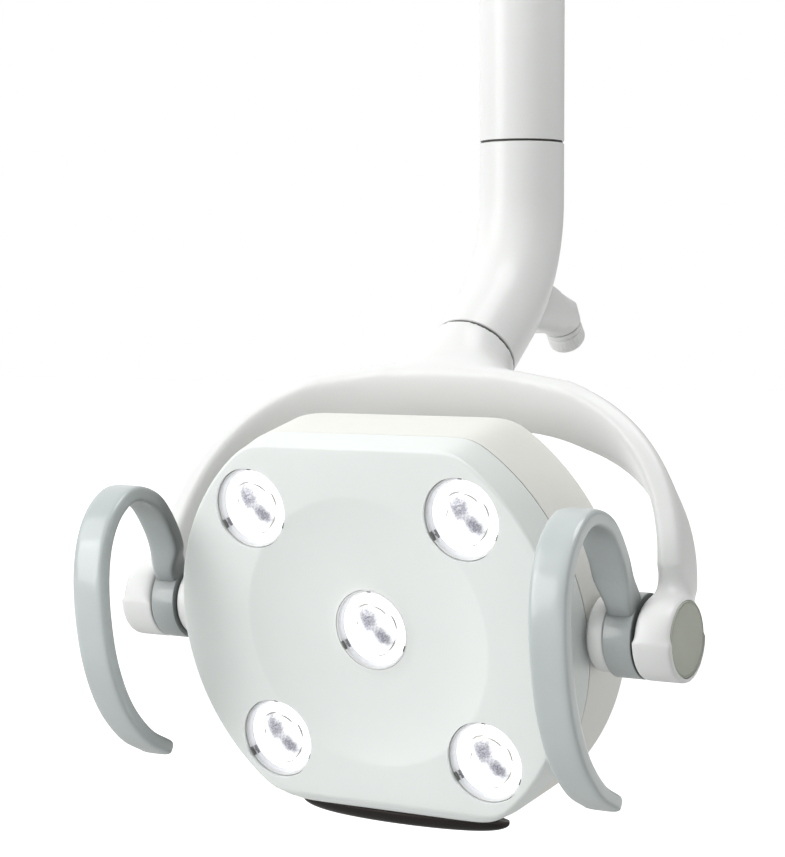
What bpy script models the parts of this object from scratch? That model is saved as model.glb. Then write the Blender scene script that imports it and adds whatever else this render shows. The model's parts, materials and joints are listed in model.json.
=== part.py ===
"""Dental operating light: drop tube, swivelling elbow, yoke and a tilting five-lens LED head.

Metres, +Z up.  The origin is the centre of the drop tube's top face, where the light hangs from
its arm.  The lit face looks along -Y, and +X is the side on its right hand as seen from the front.
"""
import math

import bmesh
import bpy
from mathutils import Matrix, Vector

MM = 0.001
GAP = 0.3 * MM                     # clearance between neighbouring solids

# ---- drop tube and elbow -------------------------------------------------------------------
TUBE_R = 25.0 * MM                 # outer radius of drop tube and elbow
TUBE_WALL = 2.5 * MM
SEAM_Z = -120.0 * MM               # swivel joint between drop tube and elbow
SEAM_HALF = 0.6 * MM               # half of the visible slot at each swivel seam
PLUG_H = 14.0 * MM
ELBOW_DROP = 34.0 * MM             # straight run below the swivel seam
ELBOW_BEND_R = 90.0 * MM
ELBOW_RUN = 32.0 * MM              # straight run after the bend
NECK_ANGLE = math.radians(50.0)    # neck axis, measured from straight down towards the face

# ---- swivel bearings -----------------------------------------------------------------------
SPINDLE_R = 10.0 * MM
SPINDLE_BORE = 6.0 * MM
BUSH_R = 14.0 * MM
HOUSING_R = TUBE_R - TUBE_WALL - GAP
NUT_R = 13.0 * MM
NUT_H = 6.0 * MM
MAST_HOUSING_H = 34.0 * MM
NECK_HOUSING_H = 22.0 * MM

# ---- tilt axis, yoke and handles ------------------------------------------------------------
PIVOT = Vector((0.0, -140.0 * MM, -385.0 * MM))
YOKE_LEAN = math.radians(21.8)     # the arch's front edge lies in a plane leaning back
YOKE_SET = -9.5 * MM               # that plane's place along Y where it passes the tilt axis
YOKE_HALF = 168.0 * MM             # half span and rise of the arch's outer front edge
YOKE_RISE = 149.5 * MM
YOKE_POWER = 2.65                  # superellipse exponent of the arch
BLADE_THICK = (14.5 * MM, 12.0 * MM)      # at the bosses and at the crown
BLADE_DEPTH = (28.0 * MM, 43.0 * MM)      # front to back, likewise
BLADE_CURL = math.radians(34.0)    # extra turn of the blade at the crown, rear edge down
BOSS_IN = 146.6 * MM               # inner and outer end of a boss along X
BOSS_OUT = 173.4 * MM
BOSS_R = 22.4 * MM
CAP_R = 19.6 * MM
CAP_THICK = 3.0 * MM
SHAFT_R = 7.0 * MM
STACK_R = 15.0 * MM                # counterbore for the friction stack
COLLAR_R = 20.0 * MM
RING_IN = 135.6 * MM               # handle ring along X
RING_OUT = BOSS_IN - GAP
HANDLE_MID = 140.9 * MM
HANDLE_WIDTH = 20.8 * MM
HANDLE_THICK = 9.2 * MM
LEG_THICK = 15.0 * MM              # strap where it leaves its ring

# ---- lamp head -------------------------------------------------------------------------------
HEAD_TILT = math.radians(11.0)     # face turned down from the horizontal
FACE_N = 32.8 * MM                 # front rim ahead of the tilt axis
FACE_R = 120.0 * MM
CHORD_TOP = 102.0 * MM
CHORD_BOTTOM = 100.0 * MM
LIP_BEVEL = (2.2 * MM, 1.5 * MM)    # the lower lip is bevelled back to the face
COVER_SEAM_N = 11.4 * MM
REAR_N = -24.0 * MM
BACK_N = -47.0 * MM
SHELL = 3.0 * MM
DISH_R = 74.0 * MM                 # edge of the shallow dish in the face
LENS_PITCH = 66.0 * MM             # outer lenses, from the middle along both axes
LENS_RING_R = 22.2 * MM
LENS_MID_N = 26.0 * MM             # front of the middle lens ring
LENS_OUTER_N = 30.6 * MM           # front of the outer lens rings
OUTLINE_POINTS = 36
WINDOW_WIDTH = 134.0 * MM          # sensor window under the head
WINDOW_DEPTH = 21.4 * MM
WINDOW_N = 13.3 * MM               # its middle ahead of the tilt axis
WINDOW_BULGE = 10.2 * MM
WINDOW_GAP = 0.8 * MM

# ---- dimmer pod behind the elbow ------------------------------------------------------------
POD_WIDTH = 24.0 * MM
KNOB_R = 11.5 * MM
KNOB_CENTRE = Vector((0.0, 56.0 * MM, -233.0 * MM))
KNOB_TILT = math.radians(38.0)     # knob axis, measured from straight down towards the back

COLOURS = {
    "white_paint": ((0.86, 0.86, 0.85), 0.28, 0.0),
    "face_plastic": ((0.76, 0.79, 0.77), 0.38, 0.0),
    "rear_plastic": ((0.72, 0.71, 0.67), 0.40, 0.0),
    "grip": ((0.55, 0.60, 0.60), 0.55, 0.0),
    "cap": ((0.46, 0.48, 0.42), 0.50, 0.0),
    "dark": ((0.03, 0.03, 0.03), 0.45, 0.0),
    "window": ((0.02, 0.015, 0.015), 0.08, 0.0),
    "lens": ((0.92, 0.94, 0.98), 0.05, 0.0),
    "lens_ring": ((0.80, 0.81, 0.82), 0.30, 0.0),
    "mirror": ((0.85, 0.85, 0.88), 0.12, 1.0),
    "steel": ((0.58, 0.58, 0.60), 0.32, 1.0),
    "alloy": ((0.62, 0.63, 0.65), 0.42, 1.0),
    "bronze": ((0.55, 0.40, 0.20), 0.40, 1.0),
    "board": ((0.05, 0.22, 0.10), 0.50, 0.0),
    "polymer": ((0.10, 0.10, 0.11), 0.50, 0.0),
}


def clear_scene():
    for obj in list(bpy.data.objects):
        bpy.data.objects.remove(obj, do_unlink=True)


def make_collection(name):
    collection = bpy.data.collections.new(name)
    bpy.context.scene.collection.children.link(collection)
    return collection


def make_materials():
    made = {}
    for name, (colour, roughness, metallic) in COLOURS.items():
        material = bpy.data.materials.new(name)
        material.use_nodes = True
        shader = material.node_tree.nodes["Principled BSDF"]
        shader.inputs["Base Color"].default_value = (*colour, 1.0)
        shader.inputs["Roughness"].default_value = roughness
        shader.inputs["Metallic"].default_value = metallic
        material.diffuse_color = (*colour, 1.0)
        made[name] = material
    return made


clear_scene()
PARTS = make_collection("dental_operating_light")
CUTTERS = make_collection("cutters")
MATERIALS = make_materials()


# ---- frames: one empty on each joint axis -----------------------------------------------------
def neck_end():
    """Middle of the elbow's lower end face."""
    forward = ELBOW_BEND_R * (1.0 - math.cos(NECK_ANGLE)) + ELBOW_RUN * math.sin(NECK_ANGLE)
    down = ELBOW_DROP + ELBOW_BEND_R * math.sin(NECK_ANGLE) + ELBOW_RUN * math.cos(NECK_ANGLE)
    return Vector((0.0, -forward, SEAM_Z - down))


NECK_END = neck_end()
NECK_TURN = Matrix.Translation(NECK_END) @ Matrix.Rotation(-NECK_ANGLE, 4, "X")
FRAMES = {
    "mast": (None, Matrix.Identity(4)),
    "elbow": ("mast", Matrix.Translation((0.0, 0.0, SEAM_Z))),
    "neck": ("elbow", NECK_TURN),
    "yoke": ("elbow", NECK_TURN),
    "head": ("yoke", Matrix.Translation(PIVOT) @ Matrix.Rotation(HEAD_TILT, 4, "X")),
    "knob": ("elbow", Matrix.Translation(KNOB_CENTRE) @ Matrix.Rotation(KNOB_TILT, 4, "X")),
}


def make_empties():
    empties = {}
    for name, (parent, matrix) in FRAMES.items():
        empty = bpy.data.objects.new("axis_" + name, None)
        PARTS.objects.link(empty)
        if parent:
            empty.parent = empties[parent]
            empty.matrix_parent_inverse = FRAMES[parent][1].inverted()
        empty.matrix_basis = matrix
        empties[name] = empty
    return empties


EMPTIES = make_empties()
AXIS_X = Matrix.Rotation(math.radians(90.0), 4, "Y")       # local +Z laid along +X
AXIS_FACE = Matrix.Rotation(math.radians(90.0), 4, "X")    # local +Z laid along -Y, out of the face


# ---- making solids ----------------------------------------------------------------------------
def add_object(name, mesh, frame, material, place=Matrix.Identity(4)):
    obj = bpy.data.objects.new(name, mesh)
    PARTS.objects.link(obj)
    mesh.materials.append(MATERIALS[material])
    obj.parent = EMPTIES[frame]
    obj.matrix_basis = place
    return obj


def turned(name, profile, frame, material, place=Matrix.Identity(4), steps=24, closed=True):
    """Solid of revolution about local Z; the profile runs down its outer side, top to bottom."""
    mesh = bpy.data.meshes.new(name)
    count = len(profile)
    edges = [(i, (i + 1) % count) for i in range(count if closed else count - 1)]
    mesh.from_pydata([(r, 0.0, z) for r, z in profile], edges, [])
    obj = add_object(name, mesh, frame, material, place)
    screw = obj.modifiers.new("turn", "SCREW")
    screw.axis = "Z"
    screw.steps = steps
    screw.render_steps = steps
    screw.use_merge_vertices = True
    screw.merge_threshold = 0.00001
    screw.use_smooth_shade = True
    return obj


def disc(name, radius, top, bottom, frame, material, place=Matrix.Identity(4), steps=24):
    profile = [(0.0, top), (radius, top), (radius, bottom), (0.0, bottom)]
    return turned(name, profile, frame, material, place, steps, closed=False)


def ring(name, outer, inner, top, bottom, frame, material, place=Matrix.Identity(4), steps=24):
    profile = [(outer, top), (outer, bottom), (inner, bottom), (inner, top)]
    return turned(name, profile, frame, material, place, steps)


def mesh_from(name, build):
    """Mesh made by build(bm) with its normals turned outward."""
    bm = bmesh.new()
    build(bm)
    bmesh.ops.recalc_face_normals(bm, faces=bm.faces[:])
    mesh = bpy.data.meshes.new(name)
    bm.to_mesh(mesh)
    bm.free()
    return mesh


def loft(bm, loops, cap_start=True, cap_end=True):
    """Join loops with the same number of points by quads."""
    rows = [[bm.verts.new(point) for point in loop] for loop in loops]
    count = len(rows[0])
    for lower, upper in zip(rows, rows[1:]):
        for i in range(count):
            j = (i + 1) % count
            bm.faces.new((lower[i], lower[j], upper[j], upper[i]))
    if cap_start:
        bm.faces.new(list(reversed(rows[0])))
    if cap_end:
        bm.faces.new(rows[-1])


def cutter(name, mesh, frame, place=Matrix.Identity(4)):
    obj = bpy.data.objects.new(name, mesh)
    CUTTERS.objects.link(obj)
    obj.parent = EMPTIES[frame]
    obj.matrix_basis = place
    obj.hide_render = True
    obj.display_type = "WIRE"
    return obj


def cylinder_mesh(name, radius, length, segments=24):
    def build(bm):
        bmesh.ops.create_cone(bm, cap_ends=True, segments=segments, radius1=radius, radius2=radius,
                              depth=length)
    return mesh_from(name, build)


def box_mesh(name, size):
    def build(bm):
        bmesh.ops.create_cube(bm, size=1.0)
        bmesh.ops.scale(bm, vec=size, verts=bm.verts[:])
    return mesh_from(name, build)


def boolean(obj, other, operation="DIFFERENCE"):
    modifier = obj.modifiers.new(operation.lower(), "BOOLEAN")
    modifier.operation = operation
    modifier.solver = "EXACT"
    modifier.object = other
    return modifier


def smooth(obj, angle=35.0):
    obj.data.shade_smooth()
    obj.data.set_sharp_from_angle(angle=math.radians(angle))


def along_x(side, distance):
    """Place with local +Z pointing away from the middle along X, at a distance from it."""
    turn = AXIS_X if side > 0 else Matrix.Rotation(math.radians(-90.0), 4, "Y")
    return Matrix.Translation((side * distance, 0.0, 0.0)) @ turn


SIDES = (("left", -1), ("right", 1))


# ---- mast: the fixed drop tube ----------------------------------------------------------------
def build_mast():
    tube = ring("drop_tube", TUBE_R, TUBE_R - TUBE_WALL, 0.0, SEAM_Z + SEAM_HALF, "mast", "white_paint",
                steps=36)
    plug = disc("top_plug", HOUSING_R, 0.0, -PLUG_H, "mast", "alloy", steps=24)
    hole_place = Matrix.Translation((14.0 * MM, 0.0, -PLUG_H / 2))
    cable_hole = cylinder_mesh("plug_cable_hole", 5.0 * MM, PLUG_H * 2)
    boolean(plug, cutter("plug_cable_hole", cable_hole, "mast", hole_place))

    screw_r = 2.5 * MM
    screw_in = 12.0 * MM
    screw_out = TUBE_R - 0.4 * MM
    for name, turn in (("tube_screw_1", 0.0), ("tube_screw_2", -90.0)):
        heading = Matrix.Rotation(math.radians(turn), 4, "Z")
        place = Matrix.Translation((0.0, 0.0, -PLUG_H / 2)) @ heading @ along_x(-1, 0.0)
        disc(name, screw_r, screw_out, screw_in, "mast", "steel", place, steps=16)
        length = screw_out - screw_in + 12.0 * MM
        hole = cylinder_mesh(name + "_hole", screw_r + GAP, length, 16)
        hole_place = place @ Matrix.Translation((0.0, 0.0, screw_in - GAP + length / 2))
        hole_cutter = cutter(name + "_hole", hole, "mast", hole_place)
        boolean(tube, hole_cutter)
        boolean(plug, hole_cutter)

    # bearing housing in the tube's lower end, with two bushes for the spindle
    bottom = SEAM_Z + 1.2 * MM
    top = bottom + MAST_HOUSING_H
    housing = ring("bearing_housing", HOUSING_R, BUSH_R + GAP, top, bottom, "mast", "alloy", steps=24)
    for name, low in (("upper_bush", top - 10.0 * MM), ("lower_bush", bottom)):
        ring(name, BUSH_R, SPINDLE_R + GAP, low + 10.0 * MM, low, "mast", "bronze", steps=20)
    ring("seam_ring", TUBE_R - 0.9 * MM, TUBE_R - TUBE_WALL + 0.2 * MM, SEAM_HALF - GAP, GAP - SEAM_HALF,
         "elbow", "dark", steps=24)

    ring("thrust_washer", HOUSING_R - 1.0 * MM, SPINDLE_R + GAP, 0.9 * MM, -0.6 * MM,
         "elbow", "polymer", steps=24)


# ---- elbow --------------------------------------------------------------------------------------
def elbow_path(count=7):
    """Centre line from the swivel seam to the neck, in the elbow's frame."""
    points = [Vector((0.0, 0.0, -SEAM_HALF)), Vector((0.0, 0.0, -ELBOW_DROP))]
    centre = Vector((0.0, -ELBOW_BEND_R, -ELBOW_DROP))
    for i in range(1, count + 1):
        a = NECK_ANGLE * i / count
        points.append(centre + ELBOW_BEND_R * Vector((0.0, math.cos(a), -math.sin(a))))
    direction = Vector((0.0, -math.sin(NECK_ANGLE), -math.cos(NECK_ANGLE)))
    points.append(points[-1] + direction * (ELBOW_RUN - SEAM_HALF))
    return points


def swept_circle(points, radius, count):
    """Rings square to a path that lies in the plane X = 0; end rings square to the end runs."""
    loops = []
    for i, point in enumerate(points):
        before = points[i] - points[i - 1] if i > 0 else points[1] - points[0]
        after = points[i + 1] - points[i] if i + 1 < len(points) else before
        direction = (before.normalized() + after.normalized()).normalized()
        side = Vector((1.0, 0.0, 0.0))
        up = direction.cross(side)
        loops.append([point + radius * (math.cos(a) * side + math.sin(a) * up)
                      for a in (2.0 * math.pi * k / count for k in range(count))])
    return loops


def in_model(frame):
    """Placement that cancels a frame, for meshes given in the model's own coordinates."""
    return FRAMES[frame][1].inverted()


def build_elbow():
    path = elbow_path()
    shell = mesh_from("elbow_tube", lambda bm: loft(bm, swept_circle(path, TUBE_R, 24), False, False))
    elbow = add_object("elbow_tube", shell, "elbow", "white_paint")
    solid = elbow.modifiers.new("wall", "SOLIDIFY")
    solid.thickness = TUBE_WALL
    solid.offset = -1.0
    solid.use_even_offset = True
    smooth(elbow)

    # spindle: flange inside the elbow's top, hollow shaft up through the bushes, nut on top
    nut_low = 1.2 * MM + MAST_HOUSING_H + GAP
    turned("swivel_spindle", spindle_profile(nut_low + NUT_H + 2.0 * MM), "elbow", "steel", steps=20)
    nut = nut_mesh("spindle_nut", NUT_R, SPINDLE_R + GAP, NUT_H)
    add_object("spindle_nut", nut, "elbow", "steel", Matrix.Translation((0.0, 0.0, nut_low + NUT_H / 2)))

    # bearing housing in the elbow's lower end, with a bush for the neck spindle
    bottom = SEAM_HALF + 0.6 * MM
    ring("neck_housing", HOUSING_R, BUSH_R + GAP, bottom + NECK_HOUSING_H, bottom, "neck", "alloy", steps=24)
    ring("neck_bush", BUSH_R, SPINDLE_R + GAP, bottom + NECK_HOUSING_H, bottom, "neck", "bronze", steps=20)


def spindle_profile(shaft_top):
    """Hollow shaft standing on a flange; the seam plane is at height 0."""
    flange_top = -0.9 * MM
    flange_low = flange_top - 8.0 * MM
    return [
        (SPINDLE_R, shaft_top), (SPINDLE_R, flange_top), (HOUSING_R, flange_top),
        (HOUSING_R, flange_low), (SPINDLE_BORE, flange_low), (SPINDLE_BORE, shaft_top),
    ]


def nut_mesh(name, radius, bore, height):
    """Hexagon nut with a round bore, centred on its origin."""
    def build(bm):
        count = 18
        corner = radius * math.cos(math.pi / 6)
        outer, inner = [], []
        for k in range(count):
            a = 2.0 * math.pi * k / count
            within = (a + math.pi / 6) % (math.pi / 3) - math.pi / 6
            outer.append((corner / math.cos(within), a))
            inner.append((bore, a))
        rows = [(outer, height / 2), (outer, -height / 2), (inner, -height / 2), (inner, height / 2)]
        loops = [[(r * math.cos(a), r * math.sin(a), z) for r, a in row] for row, z in rows]
        loft(bm, loops + [loops[0]], False, False)
        bmesh.ops.remove_doubles(bm, verts=bm.verts[:], dist=0.00001)
    return mesh_from(name, build)


def rounded(angle, power):
    """Point of a unit superellipse."""
    c, s = math.cos(angle), math.sin(angle)
    return (math.copysign(abs(c) ** (2.0 / power), c), math.copysign(abs(s) ** (2.0 / power), s))


def section(centre, side, up, half_side, half_up, power, count):
    """Closed superellipse loop round a centre."""
    loop = []
    for k in range(count):
        a, b = rounded(2.0 * math.pi * k / count, power)
        loop.append(centre + side * (half_side * a) + up * (half_up * b))
    return loop


# ---- dimmer pod ---------------------------------------------------------------------------------
POD_SECTIONS = (                   # centre (y, z), half height, lean of the section in degrees
    (-10.0, -214.0, 15.0, 0.0),
    (20.0, -217.0, 14.5, -6.0),
    (33.0, -220.5, 13.0, -20.0),
    (44.5, -222.0, 11.8, -38.0),
)


def build_pod():
    """Housing on the back of the elbow, the rotary dimmer inside it and its knob."""
    def build(bm):
        loops = []
        for y, z, half, lean in POD_SECTIONS:
            turn = Matrix.Rotation(math.radians(lean), 3, "X")
            centre = Vector((0.0, y * MM, z * MM))
            loops.append(section(centre, Vector((1.0, 0.0, 0.0)), turn @ Vector((0.0, 0.0, 1.0)),
                                 POD_WIDTH / 2, half * MM, 4.0, 20))
        axis = Matrix.Rotation(KNOB_TILT, 3, "X")
        end = KNOB_CENTRE + axis @ Vector((0.0, 0.0, 6.3 * MM))
        loops.append(section(end, Vector((1.0, 0.0, 0.0)), axis @ Vector((0.0, 1.0, 0.0)),
                             11.6 * MM, 11.6 * MM, 2.2, 20))
        loft(bm, loops)

    pod = add_object("pod_housing", mesh_from("pod_housing", build), "elbow", "white_paint",
                     in_model("elbow"))
    saddle = mesh_from("pod_saddle", lambda bm: loft(bm, swept_circle(elbow_path(), TUBE_R + GAP, 24)))
    boolean(pod, cutter("pod_saddle", saddle, "elbow"))
    pocket = cylinder_mesh("pod_pocket", 7.5 * MM, 26.0 * MM, 20)
    boolean(pod, cutter("pod_pocket", pocket, "knob", Matrix.Translation((0.0, 0.0, 2.3 * MM))))
    switch = [
        (0.0, 15.0 * MM), (7.2 * MM, 15.0 * MM), (7.2 * MM, 7.0 * MM), (3.0 * MM, 7.0 * MM),
        (3.0 * MM, -2.0 * MM), (0.0, -2.0 * MM),
    ]
    place = in_model("elbow") @ FRAMES["knob"][1]
    turned("dimmer_switch", switch, "elbow", "polymer", place, 16, closed=False)
    knob = [
        (3.3 * MM, 6.0 * MM), (KNOB_R - 0.8 * MM, 6.0 * MM), (KNOB_R, 5.2 * MM), (KNOB_R, -4.0 * MM),
        (0.86 * KNOB_R, -7.2 * MM), (0.5 * KNOB_R, -9.0 * MM), (0.0, -9.6 * MM),
    ]
    bore = [(0.0, -2.3 * MM), (3.3 * MM, -2.3 * MM)]
    turned("dimmer_knob", bore + knob, "knob", "white_paint", steps=24, closed=False)


# ---- yoke -----------------------------------------------------------------------------------------
def mix(pair, share):
    return pair[0] * (1.0 - share) + pair[1] * share


def blade_section(angle, around):
    """Loop round the blade; angle runs from the right boss over the crown to the left boss."""
    back = Vector((0.0, math.cos(YOKE_LEAN), -math.sin(YOKE_LEAN)))
    rise = Vector((0.0, math.sin(YOKE_LEAN), math.cos(YOKE_LEAN)))
    side = Vector((1.0, 0.0, 0.0))
    x, z = rounded(angle, YOKE_POWER)
    slope_x = math.copysign(abs(x) ** (YOKE_POWER - 1.0), x) / YOKE_HALF
    slope_z = z ** (YOKE_POWER - 1.0) / YOKE_RISE
    outward = (side * slope_x + rise * slope_z).normalized()
    curl = BLADE_CURL * z ** 1.75
    inward = back * math.cos(curl) - outward * math.sin(curl)
    upward = back * math.sin(curl) + outward * math.cos(curl)
    thick, depth = mix(BLADE_THICK, z ** 3), mix(BLADE_DEPTH, z)
    front = PIVOT + Vector((0.0, YOKE_SET, 0.0)) + side * (x * YOKE_HALF) + rise * (z * YOKE_RISE)
    middle = front - upward * (thick / 2) + inward * (depth / 2)
    return section(middle, inward, upward, depth / 2, thick / 2, 4.5, around)


def blade_loops(count=20, around=8):
    start = math.radians(2.0)
    return [blade_section(start + (math.pi - 2.0 * start) * i / count, around) for i in range(count + 1)]


NECK_SECTIONS = (                  # along the neck axis, half width, half depth, shift to the front
    (0.9, 26.2, 26.2, 0.0), (8.0, 26.8, 26.0, 0.0), (15.0, 30.0, 24.5, 0.5), (21.0, 36.0, 22.5, 1.5),
    (27.0, 45.0, 20.5, 2.5), (32.0, 54.0, 18.5, 3.0), (39.0, 58.0, 15.5, 3.5),
)


def build_yoke():
    def neck(bm):
        side, up = Vector((1.0, 0.0, 0.0)), Vector((0.0, 1.0, 0.0))
        loft(bm, [section(Vector((0.0, -shift * MM, -along * MM)), side, up, wide * MM, deep * MM, 2.0, 24)
                  for along, wide, deep, shift in NECK_SECTIONS])

    frame = add_object("yoke_frame", mesh_from("yoke_frame", neck), "yoke", "white_paint")
    to_yoke = in_model("yoke")
    blade = cutter("yoke_blade", mesh_from("yoke_blade", lambda bm: loft(bm, blade_loops())), "yoke", to_yoke)
    boolean(frame, blade, "UNION")
    at_pivot = to_yoke @ Matrix.Translation(PIVOT)
    for name, side in SIDES:
        def add_cylinder(label, radius, start, stop, operation, segments=28):
            mesh = cylinder_mesh(label, radius, stop - start, segments)
            tool = cutter(label, mesh, "yoke", at_pivot @ along_x(side, (start + stop) / 2))
            boolean(frame, tool, operation)

        add_cylinder("boss_" + name, BOSS_R, BOSS_IN, BOSS_OUT, "UNION", 36)
        add_cylinder("bush_bore_" + name, 9.5 * MM, BOSS_IN - 5.0 * MM, BOSS_OUT - 8.0 * MM, "DIFFERENCE", 28)
        add_cylinder("stack_bore_" + name, STACK_R, 158.0 * MM, BOSS_OUT - 1.0 * MM, "DIFFERENCE")
        add_cylinder("cap_seat_" + name, CAP_R + GAP, BOSS_OUT - CAP_THICK - GAP, BOSS_OUT + 2.0 * MM,
                     "DIFFERENCE")
        ring("boss_bush_" + name, 9.2 * MM, SHAFT_R + GAP, 11.0 * MM, 0.0, "yoke", "bronze",
             at_pivot @ along_x(side, BOSS_IN + 0.1 * MM), 20)
        ring("friction_washer_" + name, STACK_R - 0.5 * MM, SHAFT_R + GAP, 2.0 * MM, 0.0, "yoke", "polymer",
             at_pivot @ along_x(side, 158.3 * MM), 20)
        disc("boss_cap_" + name, CAP_R, 0.0, -CAP_THICK, "yoke", "cap",
             at_pivot @ along_x(side, BOSS_OUT - 0.2 * MM), 28)

    recess = cylinder_mesh("neck_recess", HOUSING_R + GAP, 20.0 * MM, 32)
    boolean(frame, cutter("neck_recess", recess, "yoke", Matrix.Translation((0.0, 0.0, 0.8 * MM))))
    smooth(frame, 40.0)

    nut_low = 1.2 * MM + NECK_HOUSING_H + GAP
    turned("neck_spindle", spindle_profile(nut_low + NUT_H + 2.0 * MM), "yoke", "steel", steps=20)
    nut = nut_mesh("neck_nut", NUT_R, SPINDLE_R + GAP, NUT_H)
    add_object("neck_nut", nut, "yoke", "steel", Matrix.Translation((0.0, 0.0, nut_low + NUT_H / 2)))
    ring("neck_ring", TUBE_R - 0.9 * MM, TUBE_R - TUBE_WALL + 0.2 * MM, SEAM_HALF - GAP, GAP - SEAM_HALF,
         "yoke", "dark", steps=24)


# ---- tilt shafts, collars and handles -----------------------------------------------------------
HANDLE_ROUTE = (                   # centre line ahead of and above the tilt axis
    (6.0, 8.0), (15.0, 28.0), (21.0, 46.0), (31.0, 65.0), (46.5, 74.6), (62.0, 70.2),
    (74.5, 57.0), (82.2, 37.0), (85.2, 12.0), (83.8, -14.0), (76.5, -39.0), (62.5, -61.0), (44.0, -75.0),
)


def smooth_route(points, per_span):
    """Catmull-Rom curve through points in the plane of the head's side."""
    vectors = [Vector((0.0, -n * MM, v * MM)) for n, v in points]
    first = 2.0 * vectors[0] - vectors[1]
    last = 2.0 * vectors[-1] - vectors[-2]
    knots = [first] + vectors + [last]
    route = []
    for i in range(1, len(knots) - 2):
        a, b, c, d = knots[i - 1:i + 3]
        for k in range(per_span):
            t = k / per_span
            route.append(0.5 * (2.0 * b + (c - a) * t + (2.0 * a - 5.0 * b + 4.0 * c - d) * t ** 2
                                + (3.0 * b - a - 3.0 * c + d) * t ** 3))
    route.append(vectors[-1])
    return route


def handle_loops(side):
    route = smooth_route(HANDLE_ROUTE, 2)
    last = len(route) - 1
    ring_mid = (RING_IN + RING_OUT) / 2
    loops = []
    for i, point in enumerate(route):
        tangent = (route[min(i + 1, last)] - route[max(i - 1, 0)]).normalized()
        out = Vector((1.0, 0.0, 0.0))
        normal = tangent.cross(out)
        grown = min(1.0, max(0.0, (point.length - 24.0 * MM) / (16.0 * MM)))
        grown = grown * grown * (3.0 - 2.0 * grown)
        half_width = (RING_OUT - RING_IN) / 2 * (1.0 - grown) + HANDLE_WIDTH / 2 * grown
        middle = ring_mid * (1.0 - grown) + HANDLE_MID * grown
        half_thick = mix((LEG_THICK / 2, HANDLE_THICK / 2), grown)
        centre = point + out * (side * middle)
        loops.append(section(centre, out, normal, half_width * 0.999, half_thick, 3.6, 8))
    tip = route[-1] + (route[-1] - route[-2]).normalized() * 2.6 * MM + Vector((side * HANDLE_MID, 0.0, 0.0))
    tangent = (route[-1] - route[-2]).normalized()
    out = Vector((1.0, 0.0, 0.0))
    tip_size = (HANDLE_WIDTH / 2 * 0.72, HANDLE_THICK / 2 * 0.55)
    loops.append(section(tip, out, tangent.cross(out), *tip_size, 2.6, 8))
    return loops


def build_tilt_parts():
    for name, side in SIDES:
        turned("collar_" + name, [
            (COLLAR_R - 1.0 * MM, 10.4 * MM), (COLLAR_R, 9.4 * MM), (COLLAR_R, 1.5 * MM),
            (COLLAR_R - 1.5 * MM, 0.0),
            (SHAFT_R + GAP, 0.0), (SHAFT_R + GAP, 10.4 * MM),
        ], "head", "white_paint", along_x(side, 124.9 * MM), 24)
        shaft = [
            (0.0, 168.6 * MM), (SHAFT_R, 168.6 * MM), (SHAFT_R, 117.4 * MM), (13.0 * MM, 117.4 * MM),
            (13.0 * MM, 113.4 * MM), (SHAFT_R, 113.4 * MM), (SHAFT_R, 96.0 * MM), (0.0, 96.0 * MM),
        ]
        turned("tilt_shaft_" + name, shaft, "head", "steel", along_x(side, 0.0), 20, closed=False)
        nut = nut_mesh("tilt_nut_" + name, 12.0 * MM, SHAFT_R + GAP, NUT_H)
        add_object("tilt_nut_" + name, nut, "head", "steel", along_x(side, 160.6 * MM + NUT_H / 2))

        handle_mesh = mesh_from("handle_" + name, lambda bm, side=side: loft(bm, handle_loops(side)))
        handle = add_object("handle_" + name, handle_mesh, "head", "grip")
        middle = (RING_IN + RING_OUT) / 2
        eye = cylinder_mesh("handle_eye_" + name, BOSS_R - 0.2 * MM, RING_OUT - RING_IN, 32)
        boolean(handle, cutter("handle_eye_" + name, eye, "head", along_x(side, middle)), "UNION")
        bore = cylinder_mesh("handle_bore_" + name, SHAFT_R + GAP, 30.0 * MM, 20)
        boolean(handle, cutter("handle_bore_" + name, bore, "head", along_x(side, middle)))
        smooth(handle, 45.0)


# ---- lamp head ------------------------------------------------------------------------------------
def outline(n, scale, corner=30.0, top=CHORD_TOP, bottom=CHORD_BOTTOM, radius=FACE_R, count=OUTLINE_POINTS):
    """Disc cut off by a chord at the top and at the bottom, with rounded corners."""
    loop = []
    for k in range(count):
        a = 2.0 * math.pi * (k + 0.5) / count
        c, s = math.cos(a), math.sin(a)
        chord = top if s > 0.0 else bottom
        r = ((1.0 / radius) ** corner + (abs(s) / chord) ** corner) ** (-1.0 / corner)
        loop.append(Vector((scale * r * c, -n, scale * r * s)))
    return loop


def circle(n, radius, count=OUTLINE_POINTS, x=0.0, v=0.0):
    return [Vector((x + radius * math.cos(a), -n, v + radius * math.sin(a)))
            for a in (2.0 * math.pi * (k + 0.5) / count for k in range(count))]


LENS_SPOTS = (("middle", 0, 0), ("upper_left", -1, 1), ("upper_right", 1, 1),
              ("lower_left", -1, -1), ("lower_right", 1, -1))


def lens_spot(sx, sy):
    """Place of a lens module, local +Z out of the face, origin on its ring's front."""
    front = LENS_OUTER_N if sx else LENS_MID_N
    return Matrix.Translation((sx * LENS_PITCH, -front, sy * LENS_PITCH)) @ AXIS_FACE


def shell_from(name, loops, material, cap=False):
    mesh = mesh_from(name, lambda bm: loft(bm, loops, False, cap))
    shell = add_object(name, mesh, "head", material)
    wall = shell.modifiers.new("wall", "SOLIDIFY")
    wall.thickness = SHELL
    wall.offset = -1.0
    wall.use_even_offset = True
    return shell


def shell_scale(n):
    """Size of the shells' outline at a distance ahead of the tilt axis."""
    stations = ((REAR_N, 1.037), (COVER_SEAM_N, 1.0245), (FACE_N, 1.0))
    for (low, first), (high, last) in zip(stations, stations[1:]):
        if n <= high:
            return mix((first, last), (n - low) / (high - low))
    return 1.0


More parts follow.
